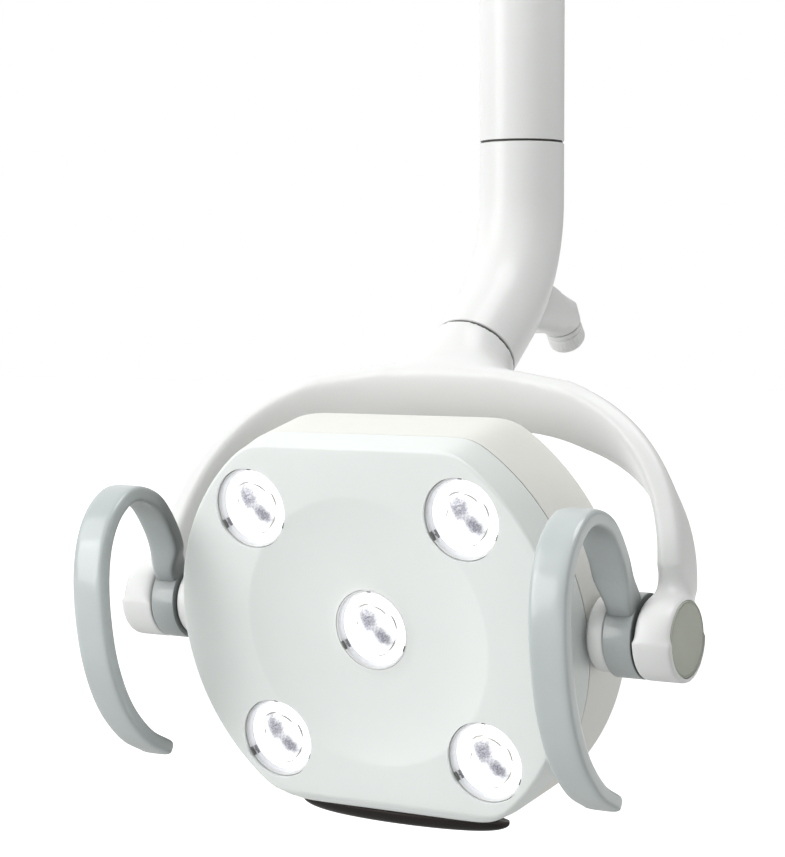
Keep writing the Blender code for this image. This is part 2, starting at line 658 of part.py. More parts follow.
def build_covers():
    hole_r = LENS_RING_R + GAP
    rim = FACE_N - 0.4 * MM
    front = shell_from("front_cover", [
        outline(COVER_SEAM_N + 0.25 * MM, 1.0245), outline(FACE_N - 4.0 * MM, 1.004),
        outline(FACE_N - 1.2 * MM, 0.993, bottom=CHORD_BOTTOM - LIP_BEVEL[0]),
        outline(FACE_N, 0.972, bottom=CHORD_BOTTOM - LIP_BEVEL[1]),
        circle(rim, DISH_R), circle(rim - 2.0 * MM, 0.84 * DISH_R),
        circle(rim - 4.1 * MM, 0.62 * DISH_R), circle(LENS_MID_N + 0.3 * MM, hole_r),
    ], "face_plastic")
    for name, sx, sy in LENS_SPOTS[1:]:
        hole = cylinder_mesh("lens_hole_" + name, hole_r, 40.0 * MM, 24)
        boolean(front, cutter("lens_hole_" + name, hole, "head", lens_spot(sx, sy)))
    smooth(front, 30.0)

    rear = shell_from("rear_cover", [
        outline(COVER_SEAM_N - 0.25 * MM, 1.0245), outline(REAR_N, 1.037), outline(-34.0 * MM, 1.015),
        outline(-41.5 * MM, 0.945), outline(-45.8 * MM, 0.82), outline(BACK_N, 0.62),
    ], "rear_plastic", cap=True)
    for name, side in SIDES:
        hole = cylinder_mesh("shaft_hole_" + name, SHAFT_R + GAP, 24.0 * MM, 16)
        boolean(rear, cutter("shaft_hole_" + name, hole, "head", along_x(side, 120.0 * MM)))
    def vents(bm):
        for row in range(-3, 4):
            made = bmesh.ops.create_cube(bm, size=1.0)["verts"]
            bmesh.ops.scale(bm, vec=(88.0 * MM - abs(row) * 9.0 * MM, 20.0 * MM, 4.0 * MM), verts=made)
            bmesh.ops.translate(bm, vec=(0.0, -BACK_N, row * 10.0 * MM), verts=made)
    slots = mesh_from("vents", vents)
    boolean(rear, cutter("vents", slots, "head"))
    smooth(rear, 30.0)

    def window(bm):
        loops = []
        for share in (0.05, 0.55, 0.8, 0.94, 1.0, -1.0, -0.05):
            loop = []
            for k in range(20):
                a, b = rounded(2.0 * math.pi * k / 20, 2.0)
                n = WINDOW_N + WINDOW_DEPTH / 2 * abs(share) * b
                v = -CHORD_BOTTOM * shell_scale(n) - WINDOW_GAP
                if share > 0.0:
                    v -= 1.2 * MM + WINDOW_BULGE * (1.0 - share ** 5.0) ** 0.5
                loop.append(Vector((WINDOW_WIDTH / 2 * abs(share) * a, -n, v)))
            loops.append(loop)
        loft(bm, loops)
    glass = add_object("sensor_window", mesh_from("sensor_window", window), "head", "window")
    smooth(glass, 50.0)


def build_lens_modules():
    board_front = 10.2 * MM
    for name, sx, sy in LENS_SPOTS:
        place = lens_spot(sx, sy)
        front = LENS_OUTER_N if sx else LENS_MID_N
        depth = front - board_front
        ring_depth = 9.0 * MM
        turned("lens_ring_" + name, [
            (LENS_RING_R, 0.0), (LENS_RING_R, -ring_depth), (LENS_RING_R - 3.4 * MM, -ring_depth),
            (LENS_RING_R - 3.4 * MM, -ring_depth + 1.4 * MM),
            (LENS_RING_R - 1.8 * MM, -ring_depth + 1.4 * MM),
            (LENS_RING_R - 1.4 * MM, 0.0),
        ], "head", "lens_ring", place, 20)
        seat = -ring_depth + 1.4 * MM + GAP
        dome_r = LENS_RING_R - 1.8 * MM - GAP
        rise = 6.4 * MM
        dome = [(dome_r * math.cos(a), seat + 1.6 * MM + rise * math.sin(a))
                for a in (math.pi / 2 * k / 3 for k in range(3, -1, -1))]
        dome[0] = (0.0, dome[0][1])
        turned("lens_" + name, dome + [(dome_r, seat), (0.0, seat)], "head", "lens", place, 20, closed=False)
        cup_top = -ring_depth - GAP
        cup_low = -depth + GAP
        turned("reflector_" + name, [
            (LENS_RING_R - 3.6 * MM, cup_top), (7.0 * MM, cup_low), (5.6 * MM, cup_low),
            (LENS_RING_R - 5.2 * MM, cup_top),
        ], "head", "mirror", place, 16)

    def board(bm):
        loft(bm, [outline(board_front - 1.6 * MM, 0.78, count=24), outline(board_front, 0.78, count=24)])
    led_board = add_object("led_board", mesh_from("led_board", board), "head", "board")
    for name, sx, sy in LENS_SPOTS:
        chip = cylinder_mesh("led_" + name, 3.4 * MM, 3.0 * MM, 10)
        place = Matrix.Translation((sx * LENS_PITCH, -board_front - 0.8 * MM, sy * LENS_PITCH)) @ AXIS_FACE
        boolean(led_board, cutter("led_" + name, chip, "head", place), "UNION")


def build_chassis():
    def sink(bm):
        loft(bm, [outline(2.6 * MM, 0.76, count=24), outline(8.3 * MM, 0.76, count=24)])
    heat_sink = add_object("heat_sink", mesh_from("heat_sink", sink), "head", "alloy")

    def fins(bm):
        for i in range(-5, 6):
            reach = math.sqrt((86.0 * MM) ** 2 - (i * 14.0 * MM) ** 2)
            tall = min(2.0 * reach, 140.0 * MM)
            made = bmesh.ops.create_cube(bm, size=1.0)["verts"]
            bmesh.ops.scale(bm, vec=(2.4 * MM, 22.0 * MM, tall), verts=made)
            bmesh.ops.translate(bm, vec=(i * 14.0 * MM, 7.6 * MM, 0.0), verts=made)
    boolean(heat_sink, cutter("sink_fins", mesh_from("sink_fins", fins), "head"), "UNION")

    def plate(bm):
        loft(bm, [outline(-22.4 * MM, 0.90, count=24), outline(-19.4 * MM, 0.90, count=24)])
    chassis = add_object("chassis_plate", mesh_from("chassis_plate", plate), "head", "alloy")
    for name, side in SIDES:
        ear = box_mesh("ear_" + name, (6.0 * MM, 34.0 * MM, 30.0 * MM))
        ear_place = Matrix.Translation((side * 104.0 * MM, 3.4 * MM, 0.0))
        boolean(chassis, cutter("ear_" + name, ear, "head", ear_place), "UNION")
        hole = cylinder_mesh("ear_hole_" + name, SHAFT_R + GAP, 20.0 * MM, 16)
        boolean(chassis, cutter("ear_hole_" + name, hole, "head", along_x(side, 104.0 * MM)))

    board_mesh = box_mesh("driver_board", (92.0 * MM, 1.6 * MM, 62.0 * MM))
    driver = add_object("driver_board", board_mesh, "head", "board",
                        Matrix.Translation((0.0, 28.0 * MM, 0.0)))

    def components(bm):
        for x, v, w, h, d in ((-28.0, 12.0, 20.0, 20.0, 9.0), (6.0, -12.0, 26.0, 18.0, 7.0),
                              (32.0, 14.0, 14.0, 22.0, 8.0)):
            made = bmesh.ops.create_cube(bm, size=1.0)["verts"]
            bmesh.ops.scale(bm, vec=(w * MM, (d + 1.0) * MM, h * MM), verts=made)
            bmesh.ops.translate(bm, vec=(x * MM, 28.0 * MM + d / 2 * MM + 0.3 * MM, v * MM), verts=made)
    boolean(driver, cutter("driver_components", mesh_from("driver_components", components), "head"), "UNION")


build_mast()
build_elbow()
build_pod()
build_yoke()
build_tilt_parts()
build_covers()
build_lens_modules()
build_chassis()
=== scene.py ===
"""Looks of the dental operating light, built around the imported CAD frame."""
import json
import math

import bmesh
import bpy
import numpy as np
from mathutils import Matrix, Vector


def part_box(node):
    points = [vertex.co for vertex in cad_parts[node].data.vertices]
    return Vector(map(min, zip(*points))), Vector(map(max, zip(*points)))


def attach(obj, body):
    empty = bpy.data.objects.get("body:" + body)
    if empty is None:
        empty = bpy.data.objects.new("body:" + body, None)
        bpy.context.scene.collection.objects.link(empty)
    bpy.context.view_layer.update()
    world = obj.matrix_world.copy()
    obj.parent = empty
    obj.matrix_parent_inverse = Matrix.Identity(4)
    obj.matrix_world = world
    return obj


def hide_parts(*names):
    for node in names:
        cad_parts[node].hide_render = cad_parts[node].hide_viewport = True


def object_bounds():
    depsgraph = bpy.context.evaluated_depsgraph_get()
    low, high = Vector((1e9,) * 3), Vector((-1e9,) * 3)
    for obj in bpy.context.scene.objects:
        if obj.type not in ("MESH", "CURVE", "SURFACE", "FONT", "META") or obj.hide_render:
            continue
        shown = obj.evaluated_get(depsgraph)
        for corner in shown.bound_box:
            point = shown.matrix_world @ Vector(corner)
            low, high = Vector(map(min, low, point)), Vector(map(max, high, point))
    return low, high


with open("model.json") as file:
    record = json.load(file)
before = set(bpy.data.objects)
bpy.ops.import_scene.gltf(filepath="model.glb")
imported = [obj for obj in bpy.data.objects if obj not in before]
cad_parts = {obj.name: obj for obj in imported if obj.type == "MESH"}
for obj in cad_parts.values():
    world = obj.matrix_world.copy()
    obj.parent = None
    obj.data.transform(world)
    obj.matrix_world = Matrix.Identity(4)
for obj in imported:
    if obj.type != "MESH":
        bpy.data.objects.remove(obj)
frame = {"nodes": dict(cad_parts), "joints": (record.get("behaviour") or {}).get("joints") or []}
cad_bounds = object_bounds()

MM = 0.001
JOINTS = {joint["name"]: joint for joint in frame["joints"]}
PIVOT = Vector(JOINTS["head_tilt"]["pos_m"])
SEAM = Vector(JOINTS["tube_swivel"]["pos_m"])
NECK_END = Vector(JOINTS["neck_swivel"]["pos_m"])
NECK_AXIS = Vector(JOINTS["neck_swivel"]["axis"])
KNOB = Vector(JOINTS["dimmer_turn"]["pos_m"])
KNOB_AXIS = Vector(JOINTS["dimmer_turn"]["axis"])
TUBE_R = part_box("drop_tube")[1].x
TUBE_WALL = 2.5 * MM
TUBE_STEPS = 128
BEND_R, BEND_DROP = 90.0 * MM, 34.0 * MM        # elbow's bend, and how far it starts below the seam
BEND_STEPS = 40
TUBE_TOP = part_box("drop_tube")[1].z
SEAM_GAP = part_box("drop_tube")[0].z - SEAM.z
BOSS_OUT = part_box("yoke_frame")[1].x
PLAY = 0.3 * MM                                 # clearance between pieces that fit in each other
RING_IN = 135.6 * MM                            # inner and outer end of the grip's ring on the tilt axis
RING_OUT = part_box("handle_right")[1].x
BOSS_IN = RING_OUT + PLAY
BOSS_R = 22.4 * MM
SHAFT_R = 7.0 * MM
HEAD_TILT = math.radians(11.0)
ACROSS = Vector((1.0, 0.0, 0.0))

AT_PIVOT = Matrix.Translation(PIVOT)
HEAD = AT_PIVOT @ Matrix.Rotation(HEAD_TILT, 4, "X")
NECK = Matrix.Translation(NECK_END) @ NECK_AXIS.to_track_quat("Z", "X").to_matrix().to_4x4()
KNOB_FRAME = Matrix.Translation(KNOB) @ KNOB_AXIS.to_track_quat("Z", "X").to_matrix().to_4x4()
OUT_OF_FACE = Matrix.Rotation(math.radians(90.0), 4, "X")
SIDES = (("left", -1), ("right", 1))


def along_x(side, distance):
    """Frame on the tilt axis with local Z pointing away from the head."""
    turn = Matrix.Rotation(math.radians(90.0 * side), 4, "Y")
    return Matrix.Translation((side * distance, 0.0, 0.0)) @ turn


def lifted(distance):
    """Move along local Z."""
    return Matrix.Translation((0.0, 0.0, distance))


def between(first, last, share):
    return first * (1.0 - share) + last * share


def turns(count, shift=0.0):
    """Angles of a full turn, in equal steps."""
    return [2.0 * math.pi * (k + shift) / count for k in range(count)]


# ---- materials ----------------------------------------------------------------------------------
class Nodes:
    """Short way to lay out a shader tree."""

    def __init__(self, name):
        self.material = bpy.data.materials.new(name)
        self.material.use_nodes = True
        self.tree = self.material.node_tree
        self.shader = self.tree.nodes["Principled BSDF"]
        self.coords = self.tree.nodes.new("ShaderNodeTexCoord").outputs["Object"]

    def link(self, source, target):
        self.tree.links.new(source, target)

    def noise(self, scale, detail=4.0, rough=0.55, stretch=None):
        node = self.tree.nodes.new("ShaderNodeTexNoise")
        node.inputs["Scale"].default_value = scale
        node.inputs["Detail"].default_value = detail
        node.inputs["Roughness"].default_value = rough
        source = self.coords
        if stretch:
            mapping = self.tree.nodes.new("ShaderNodeMapping")
            mapping.inputs["Scale"].default_value = stretch
            self.link(source, mapping.inputs["Vector"])
            source = mapping.outputs["Vector"]
        self.link(source, node.inputs["Vector"])
        return node.outputs["Fac"]

    def length(self, vector):
        node = self.tree.nodes.new("ShaderNodeVectorMath")
        node.operation = "LENGTH"
        self.link(vector, node.inputs[0])
        return node.outputs["Value"]

    def span(self, value, low, high, to_low, to_high):
        node = self.tree.nodes.new("ShaderNodeMapRange")
        for label, number in (("From Min", low), ("From Max", high), ("To Min", to_low), ("To Max", to_high)):
            node.inputs[label].default_value = number
        self.link(value, node.inputs["Value"])
        return node.outputs["Result"]

    def blend(self, share, first, second):
        node = self.tree.nodes.new("ShaderNodeMix")
        node.data_type = "RGBA"
        self.link(share, node.inputs["Factor"])
        for socket, value in ((node.inputs["A"], first), (node.inputs["B"], second)):
            if isinstance(value, tuple):
                socket.default_value = (*value, 1.0)
            else:
                self.link(value, socket)
        return node.outputs["Result"]

    def join(self, operation, first, second):
        node = self.tree.nodes.new("ShaderNodeMath")
        node.operation = operation
        for socket, value in zip(node.inputs, (first, second)):
            if isinstance(value, float):
                socket.default_value = value
            else:
                self.link(value, socket)
        return node.outputs["Value"]

    def edges(self):
        """1 on outer edges, which are rubbed."""
        geometry = self.tree.nodes.new("ShaderNodeNewGeometry")
        return self.span(geometry.outputs["Pointiness"], 0.52, 0.62, 0.0, 1.0)

    def openness(self, reach, low):
        """0 in creases and between close surfaces, 1 in the open."""
        node = self.tree.nodes.new("ShaderNodeAmbientOcclusion")
        node.samples = 16
        node.inputs["Distance"].default_value = reach
        return self.span(node.outputs["AO"], low, 0.95, 0.0, 1.0)

    def bump(self, height, distance, strength=1.0, below=None):
        node = self.tree.nodes.new("ShaderNodeBump")
        node.inputs["Distance"].default_value = distance
        node.inputs["Strength"].default_value = strength
        self.link(height, node.inputs["Height"])
        if below:
            self.link(below, node.inputs["Normal"])
        return node.outputs["Normal"]


def finish_material(name, dark, light, rough, grain, depth, coat=0.0, metallic=0.0, wear=None,
                    brushed=None, patch=0.22, crease_shade=None, gloss=0.45):
    """Painted, moulded or turned surface: cloudy colour, uneven gloss, fine grain, rubbed edges and painted
    shade in hollows.

    patch is the spread of the gloss. The crease numbers hold the reach, the threshold and the darkness of the
    shade painted into hollows.
    """
    n = Nodes(name)
    cloud = n.span(n.noise(9.0, 5.0), 0.35, 0.65, 0.0, 1.0)
    fine = n.noise(grain, 3.0, 0.6, brushed)
    colour = n.blend(cloud, dark, light)
    colour = n.blend(n.span(fine, 0.3, 0.7, 0.0, 0.12), colour, dark)
    if wear:
        colour = n.blend(n.edges(), colour, wear)
    # Painted shade: hollows and close surfaces, found by ambient occlusion, get a darker copy of the colour.
    if crease_shade:
        reach, low, darkness = crease_shade
        colour = n.blend(n.openness(reach, low), tuple(part * darkness for part in dark), colour)
    n.link(colour, n.shader.inputs["Base Color"])
    uneven = n.span(n.noise(38.0, 6.0, 0.65), 0.3, 0.7, rough * (1 - patch), rough * (1 + patch))
    n.link(uneven, n.shader.inputs["Roughness"])
    broad = n.bump(n.noise(26.0, 1.0), depth * 2.0, 0.3)
    n.link(n.bump(fine, depth, 0.6, broad), n.shader.inputs["Normal"])
    n.shader.inputs["Metallic"].default_value = metallic
    n.shader.inputs["Coat Weight"].default_value = coat
    n.shader.inputs["Coat Roughness"].default_value = 0.12
    n.shader.inputs["Specular IOR Level"].default_value = gloss
    return n.material


def lobe(n, ragged, x, y, across, along, turn):
    """1 inside a turned oval with a ragged rim, 0 outside. Places and half sizes are in millimetres."""
    mapping = n.tree.nodes.new("ShaderNodeMapping")
    mapping.vector_type = "TEXTURE"
    mapping.inputs["Location"].default_value = (x * MM, y * MM, 0.0)
    mapping.inputs["Rotation"].default_value = (0.0, 0.0, turn)
    mapping.inputs["Scale"].default_value = (across * MM, along * MM, 1.0)
    n.link(n.coords, mapping.inputs["Vector"])
    return n.span(n.join("ADD", n.length(mapping.outputs["Vector"]), ragged), 0.45, 1.25, 1.0, 0.0)


def lens_material():
    """Lit dome with a painted reflection of its lamp in it: two soft purple-grey lobes across a white glow.
    """
    n = Nodes("lens_glow")
    wave = n.tree.nodes.new("ShaderNodeTexWave")
    wave.wave_type = "RINGS"
    wave.rings_direction = "Z"
    wave.inputs["Scale"].default_value = 95.0
    wave.inputs["Distortion"].default_value = 1.4
    wave.inputs["Detail"].default_value = 2.0
    n.link(n.coords, wave.inputs["Vector"])
    white = n.blend(n.span(wave.outputs["Fac"], 0.0, 1.0, 0.0, 0.3), (0.93, 0.94, 0.97), (0.80, 0.82, 0.89))
    ragged = n.span(n.noise(330.0, 5.0, 0.7), 0.3, 0.7, -0.22, 0.22)
    # Painted reflection of the lamp: two lobes and a half-strength bridge, mottled purple-grey, with less
    # glow inside them.
    upper = lobe(n, ragged, -1.0, 6.6, 5.6, 7.8, 0.45)
    lower = lobe(n, ragged, 6.6, -2.8, 4.2, 6.8, 0.72)
    bridge = n.join("MULTIPLY", lobe(n, ragged, 2.6, 2.4, 3.6, 6.4, 0.62), 0.5)
    mask = n.join("MAXIMUM", n.join("MAXIMUM", upper, lower), bridge)
    cells = n.tree.nodes.new("ShaderNodeTexVoronoi")
    cells.inputs["Scale"].default_value = 1100.0
    n.link(n.coords, cells.inputs["Vector"])
    mottled = n.span(cells.outputs["Distance"], 0.1, 0.8, 0.0, 1.0)
    image = n.blend(mottled, (0.17, 0.165, 0.23), (0.58, 0.58, 0.65))
    n.link(n.blend(mask, white, image), n.shader.inputs["Base Color"])
    n.link(n.span(n.noise(60.0), 0.3, 0.7, 0.04, 0.10), n.shader.inputs["Roughness"])
    n.link(n.bump(wave.outputs["Fac"], 0.00012, 0.5), n.shader.inputs["Normal"])
    n.shader.inputs["Emission Color"].default_value = (0.96, 0.97, 1.0, 1.0)
    n.link(n.span(mask, 0.0, 0.8, 0.62, 0.0), n.shader.inputs["Emission Strength"])
    n.shader.inputs["Coat Weight"].default_value = 0.6
    return n.material


def floor_material():
    """Pale floor that turns into an even glow further away."""
    n = Nodes("studio_floor")
    far = n.span(n.length(n.coords), 1.6, 3.6, 0.0, 1.0)
    near = n.blend(n.noise(0.8), (0.60, 0.60, 0.595), (0.64, 0.64, 0.635))
    n.link(n.blend(far, near, (0.85, 0.85, 0.85)), n.shader.inputs["Base Color"])
    n.shader.inputs["Roughness"].default_value = 0.7
    n.shader.inputs["Emission Color"].default_value = (1.0, 1.0, 1.0, 1.0)
    n.link(n.span(far, 0.0, 1.0, 0.0, 0.85), n.shader.inputs["Emission Strength"])
    return n.material


PAINTS = {
    # name: dark and light colour, roughness, grain scale, grain depth, and what else it has
    # white paint: a light painted shade in its hollows, at the arms' and bosses' roots (crease numbers)
    "white_paint": ((0.765, 0.77, 0.765), (0.79, 0.795, 0.79), 0.36, 900.0, 0.000003,
                    {"coat": 0.12, "patch": 0.05, "crease_shade": (0.012, 0.40, 0.62), "gloss": 0.32}),
    "face_plastic": ((0.795, 0.83, 0.815), (0.82, 0.855, 0.84), 0.40, 1300.0, 0.00004,
                     {"wear": (0.86, 0.87, 0.86)}),
    "rear_plastic": ((0.80, 0.795, 0.76), (0.84, 0.835, 0.80), 0.46, 1100.0, 0.00006,
                     {"wear": (0.83, 0.82, 0.79)}),
    # grip: a strong, wide painted shade darkens the inside of its loop (crease numbers)
    "grip": ((0.47, 0.515, 0.515), (0.53, 0.575, 0.575), 0.30, 1500.0, 0.00004,
             {"coat": 0.4, "patch": 0.06, "crease_shade": (0.09, 0.50, 0.26)}),
    "cap": ((0.43, 0.45, 0.385), (0.50, 0.52, 0.45), 0.50, 1200.0, 0.00006, {"wear": (0.62, 0.63, 0.56)}),
    "dark": ((0.035, 0.04, 0.035), (0.09, 0.095, 0.085), 0.5, 900.0, 0.00005, {"wear": (0.2, 0.2, 0.19)}),
    "window": ((0.006, 0.004, 0.004), (0.016, 0.012, 0.011), 0.09, 600.0, 0.000006,
               {"gloss": 0.22, "wear": (0.10, 0.08, 0.075)}),
    "lens_ring": ((0.74, 0.745, 0.755), (0.84, 0.845, 0.85), 0.26, 1200.0, 0.00003,
                  {"coat": 0.3, "wear": (0.90, 0.90, 0.90)}),
    "mirror": ((0.72, 0.72, 0.75), (0.86, 0.86, 0.88), 0.12, 500.0, 0.00003,
               {"metallic": 1.0, "wear": (0.93, 0.93, 0.95)}),
    "steel": ((0.46, 0.46, 0.48), (0.60, 0.60, 0.62), 0.32, 420.0, 0.00004,
              {"metallic": 1.0, "wear": (0.78, 0.78, 0.80), "brushed": (1.0, 1.0, 9.0)}),
    "alloy": ((0.52, 0.53, 0.55), (0.64, 0.65, 0.67), 0.42, 500.0, 0.00005,
              {"metallic": 1.0, "wear": (0.80, 0.80, 0.82)}),
    "bronze": ((0.42, 0.29, 0.13), (0.58, 0.42, 0.21), 0.42, 380.0, 0.00006,
               {"metallic": 1.0, "wear": (0.75, 0.58, 0.34)}),
    "board": ((0.03, 0.16, 0.07), (0.06, 0.26, 0.12), 0.42, 700.0, 0.00005, {"wear": (0.35, 0.40, 0.30)}),
    "polymer": ((0.07, 0.07, 0.08), (0.13, 0.13, 0.14), 0.48, 900.0, 0.00006, {"wear": (0.24, 0.24, 0.25)}),
    "lens_glint": ((0.36, 0.35, 0.33), (0.62, 0.60, 0.50), 0.2, 900.0, 0.00002, {}),
}
MATERIALS = {name: finish_material(name, *numbers, **more) for name, (*numbers, more) in PAINTS.items()}
MATERIALS["lens"] = lens_material()


# ---- making pieces ------------------------------------------------------------------------------
def new_object(name, mesh, place=Matrix.Identity(4)):
    obj = bpy.data.objects.new(name, mesh)
    bpy.context.scene.collection.objects.link(obj)
    obj.matrix_world = place
    return obj


def settle(obj, sharp=32.0):
    """Turn the object's modifiers into its mesh and shade it."""
    bpy.context.view_layer.update()
    graph = bpy.context.evaluated_depsgraph_get()
    mesh = bpy.data.meshes.new_from_object(obj.evaluated_get(graph))
    obj.modifiers.clear()
    obj.data = mesh
    mesh.shade_smooth()
    mesh.set_sharp_from_angle(angle=math.radians(sharp))


def deliver(obj, body, material, *nodes, slot=None, sharp=32.0, own_axes=False):
    """Final mesh, material, body and the CAD nodes that the piece stands for."""
    settle(obj, sharp)
    if not own_axes:
        obj.data.transform(obj.matrix_world)
        obj.matrix_world = Matrix.Identity(4)
    obj.data.materials.clear()
    obj.data.materials.append(MATERIALS[material])
    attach(obj, body)
    if nodes:
        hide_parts(*nodes)


def mesh_from(name, build):
    bm = bmesh.new()
    build(bm)
    bmesh.ops.recalc_face_normals(bm, faces=bm.faces[:])
    mesh = bpy.data.meshes.new(name)
    bm.to_mesh(mesh)
    bm.free()
    return mesh


def loft(bm, loops, cap_start=True, cap_end=True, closed=False):
    """Skin over loops with the same number of points."""
    rows = [[bm.verts.new(point) for point in loop] for loop in loops]
    pairs = list(zip(rows, rows[1:])) + ([(rows[-1], rows[0])] if closed else [])
    count = len(rows[0])
    for lower, upper in pairs:
        for i in range(count):
            j = (i + 1) % count
            bm.faces.new((lower[i], lower[j], upper[j], upper[i]))
    if cap_start and not closed:
        bm.faces.new(list(reversed(rows[0])))
    if cap_end and not closed:
        bm.faces.new(rows[-1])


def soften(profile, radius, steps=4):
    """Round every inner corner of an open profile of (r, z) points."""
    points = [Vector(p) for p in profile]
    out = [points[0]]
    for before, corner, after in zip(points, points[1:], points[2:]):
        a, b = before - corner, after - corner
        reach = min(radius, a.length * 0.45, b.length * 0.45)
        start, end = corner + a.normalized() * reach, corner + b.normalized() * reach
        for k in range(steps + 1):
            t = k / steps
            out.append(start * (1 - t) ** 2 + corner * 2 * t * (1 - t) + end * t ** 2)
    out.append(points[-1])
    return [(p.x, p.y) for p in out]


def lathe(name, profile, place, steps=96, closed=False, radius=0.0):
    """Turned solid about local Z. An open profile starts and ends on the axis."""
    if radius:
        if closed:
            ring = soften([profile[-1]] + list(profile) + [profile[0]], radius)[1:-1]
        else:
            ring = soften(profile, radius)
    else:
        ring = list(profile)

    def build(bm):
        loops = [[(r * math.cos(a), r * math.sin(a), z) for a in turns(steps)] for r, z in ring]
        loft(bm, loops, False, False, closed)
        bmesh.ops.remove_doubles(bm, verts=bm.verts[:], dist=0.000002)
    return new_object(name, mesh_from(name, build), place)


def cylinder(name, radius, length, place, segments=48):
    """Solid cylinder centred on the frame, along its local Z."""
    def build(bm):
        bmesh.ops.create_cone(bm, cap_ends=True, segments=segments, radius1=radius, radius2=radius,
                              depth=length)
    return new_object(name, mesh_from(name, build), place)


def cut(obj, tools, operation="DIFFERENCE"):
    """Boolean with throwaway tools, made final at once."""
    for tool in tools:
        modifier = obj.modifiers.new("cut", "BOOLEAN")
        modifier.operation = operation
        modifier.solver = "EXACT"
        modifier.object = tool
    settle(obj)
    for tool in tools:
        bpy.data.objects.remove(tool, do_unlink=True)


def rounded(angle, power):
    """Point on a superellipse of unit half sizes: a circle at power 2, squarer above it."""
    c, s = math.cos(angle), math.sin(angle)
    return (math.copysign(abs(c) ** (2.0 / power), c), math.copysign(abs(s) ** (2.0 / power), s))


def section(centre, side, up, half_side, half_up, power, count):
    """Closed superellipse loop in the plane of side and up."""
    loop = []
    for angle in turns(count, 0.5):
        a, b = rounded(angle, power)
        loop.append(centre + side * (half_side * a) + up * (half_up * b))
    return loop


def curve_through(points, per_span):
    """Catmull-Rom curve through points of any size."""
    knots = [np.array(p, float) for p in points]
    knots = [2 * knots[0] - knots[1]] + knots + [2 * knots[-1] - knots[-2]]
    route = []
    for a, b, c, d in zip(knots, knots[1:], knots[2:], knots[3:]):
        for k in range(per_span):
            t = k / per_span
            route.append(0.5 * (2 * b + (c - a) * t + (2 * a - 5 * b + 4 * c - d) * t ** 2
                                + (3 * b - a - 3 * c + d) * t ** 3))
    route.append(knots[-2])
    return route


def ease(t):
    """Smooth step from 0 to 1."""
    t = min(1.0, max(0.0, t))
    return t * t * (3.0 - 2.0 * t)


# ---- drop tube and elbow ------------------------------------------------------------------------
def tube_screw(name):
    """Set screw in the tube's wall. Returns the tool for its hole."""
    hole_r, screw_r, inner_end = 2.8 * MM, 2.5 * MM, 12.0 * MM
    lower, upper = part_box(name)
    centre = (lower + upper) / 2
    outward = Vector((centre.x, centre.y, 0.0)).normalized()
    place = lifted(centre.z) @ outward.to_track_quat("Z", "Y").to_matrix().to_4x4()
    hole = cylinder(name + "_hole", hole_r, 14.0 * MM, place @ lifted(TUBE_R))
    head = TUBE_R - 0.4 * MM
    screw = lathe("set_" + name, [(0.0, head), (screw_r, head), (screw_r, inner_end), (0.0, inner_end)],
                  place, 32, radius=0.3 * MM)
    cut(screw, [cylinder(name + "_hex", 1.3 * MM, 4.0 * MM, place @ lifted(head), 6)])
    deliver(screw, "mast", "steel", name)
    return hole


def tube_pieces():
    low, high = SEAM.z + SEAM_GAP, TUBE_TOP
    inner = TUBE_R - TUBE_WALL
    profile = [(TUBE_R, high), (TUBE_R, low), (inner, low), (inner, high)]
    tube = lathe("tube_upper", profile, Matrix.Identity(4), TUBE_STEPS, closed=True, radius=0.5 * MM)
    cut(tube, [tube_screw(name) for name in ("tube_screw_1", "tube_screw_2")])
    deliver(tube, "mast", "white_paint", "drop_tube")


def elbow_rings(radius, count, trim=0.0):
    """Rings along the elbow's centre line, square to it."""
    angle = math.acos(NECK_AXIS.z)
    bend_start = SEAM.z - BEND_DROP
    bend_end = Vector((0.0, -BEND_R * (1 - math.cos(angle)), bend_start - BEND_R * math.sin(angle)))
    down = Vector((0.0, 0.0, -1.0))
    stations = [(Vector((0.0, 0.0, SEAM.z - SEAM_GAP - trim)), down), (Vector((0.0, 0.0, bend_start)), down)]
    hub = Vector((0.0, -BEND_R, bend_start))
    for i in range(1, BEND_STEPS + 1):
        a = angle * i / BEND_STEPS
        stations.append((hub + BEND_R * Vector((0.0, math.cos(a), -math.sin(a))),
                         Vector((0.0, -math.sin(a), -math.cos(a)))))
    last, way = stations[-1]
    stations.append((last + way * ((NECK_END - bend_end).length - SEAM_GAP - trim), way))
    loops = []
    for point, way in stations:
        up = way.cross(ACROSS)
        loops.append([point + radius * (math.cos(a) * ACROSS + math.sin(a) * up)
                      for a in turns(count)])
    return loops


def elbow_pieces():
    edge = 0.5 * MM
    outer = elbow_rings(TUBE_R, TUBE_STEPS, edge)
    lips = elbow_rings(TUBE_R - edge, TUBE_STEPS)
    inner = elbow_rings(TUBE_R - TUBE_WALL, TUBE_STEPS)
    loops = [lips[0]] + outer + [lips[-1]] + list(reversed(inner))
    mesh = mesh_from("elbow_skin", lambda bm: loft(bm, loops, closed=True))
    deliver(new_object("elbow_skin", mesh), "elbow", "white_paint", "elbow_tube")
    outer_r, inner_r, half = TUBE_R - 0.9 * MM, TUBE_R - 2.3 * MM, 0.3 * MM
    for name, place, body, node in (("seam_gasket", Matrix.Translation(SEAM), "elbow", "seam_ring"),
                                    ("neck_gasket", NECK, "yoke", "neck_ring")):
        gasket = lathe(name, [(outer_r, half), (outer_r, -half), (inner_r, -half), (inner_r, half)],
                       place, TUBE_STEPS, closed=True, radius=0.1 * MM)
        deliver(gasket, body, "dark", node)


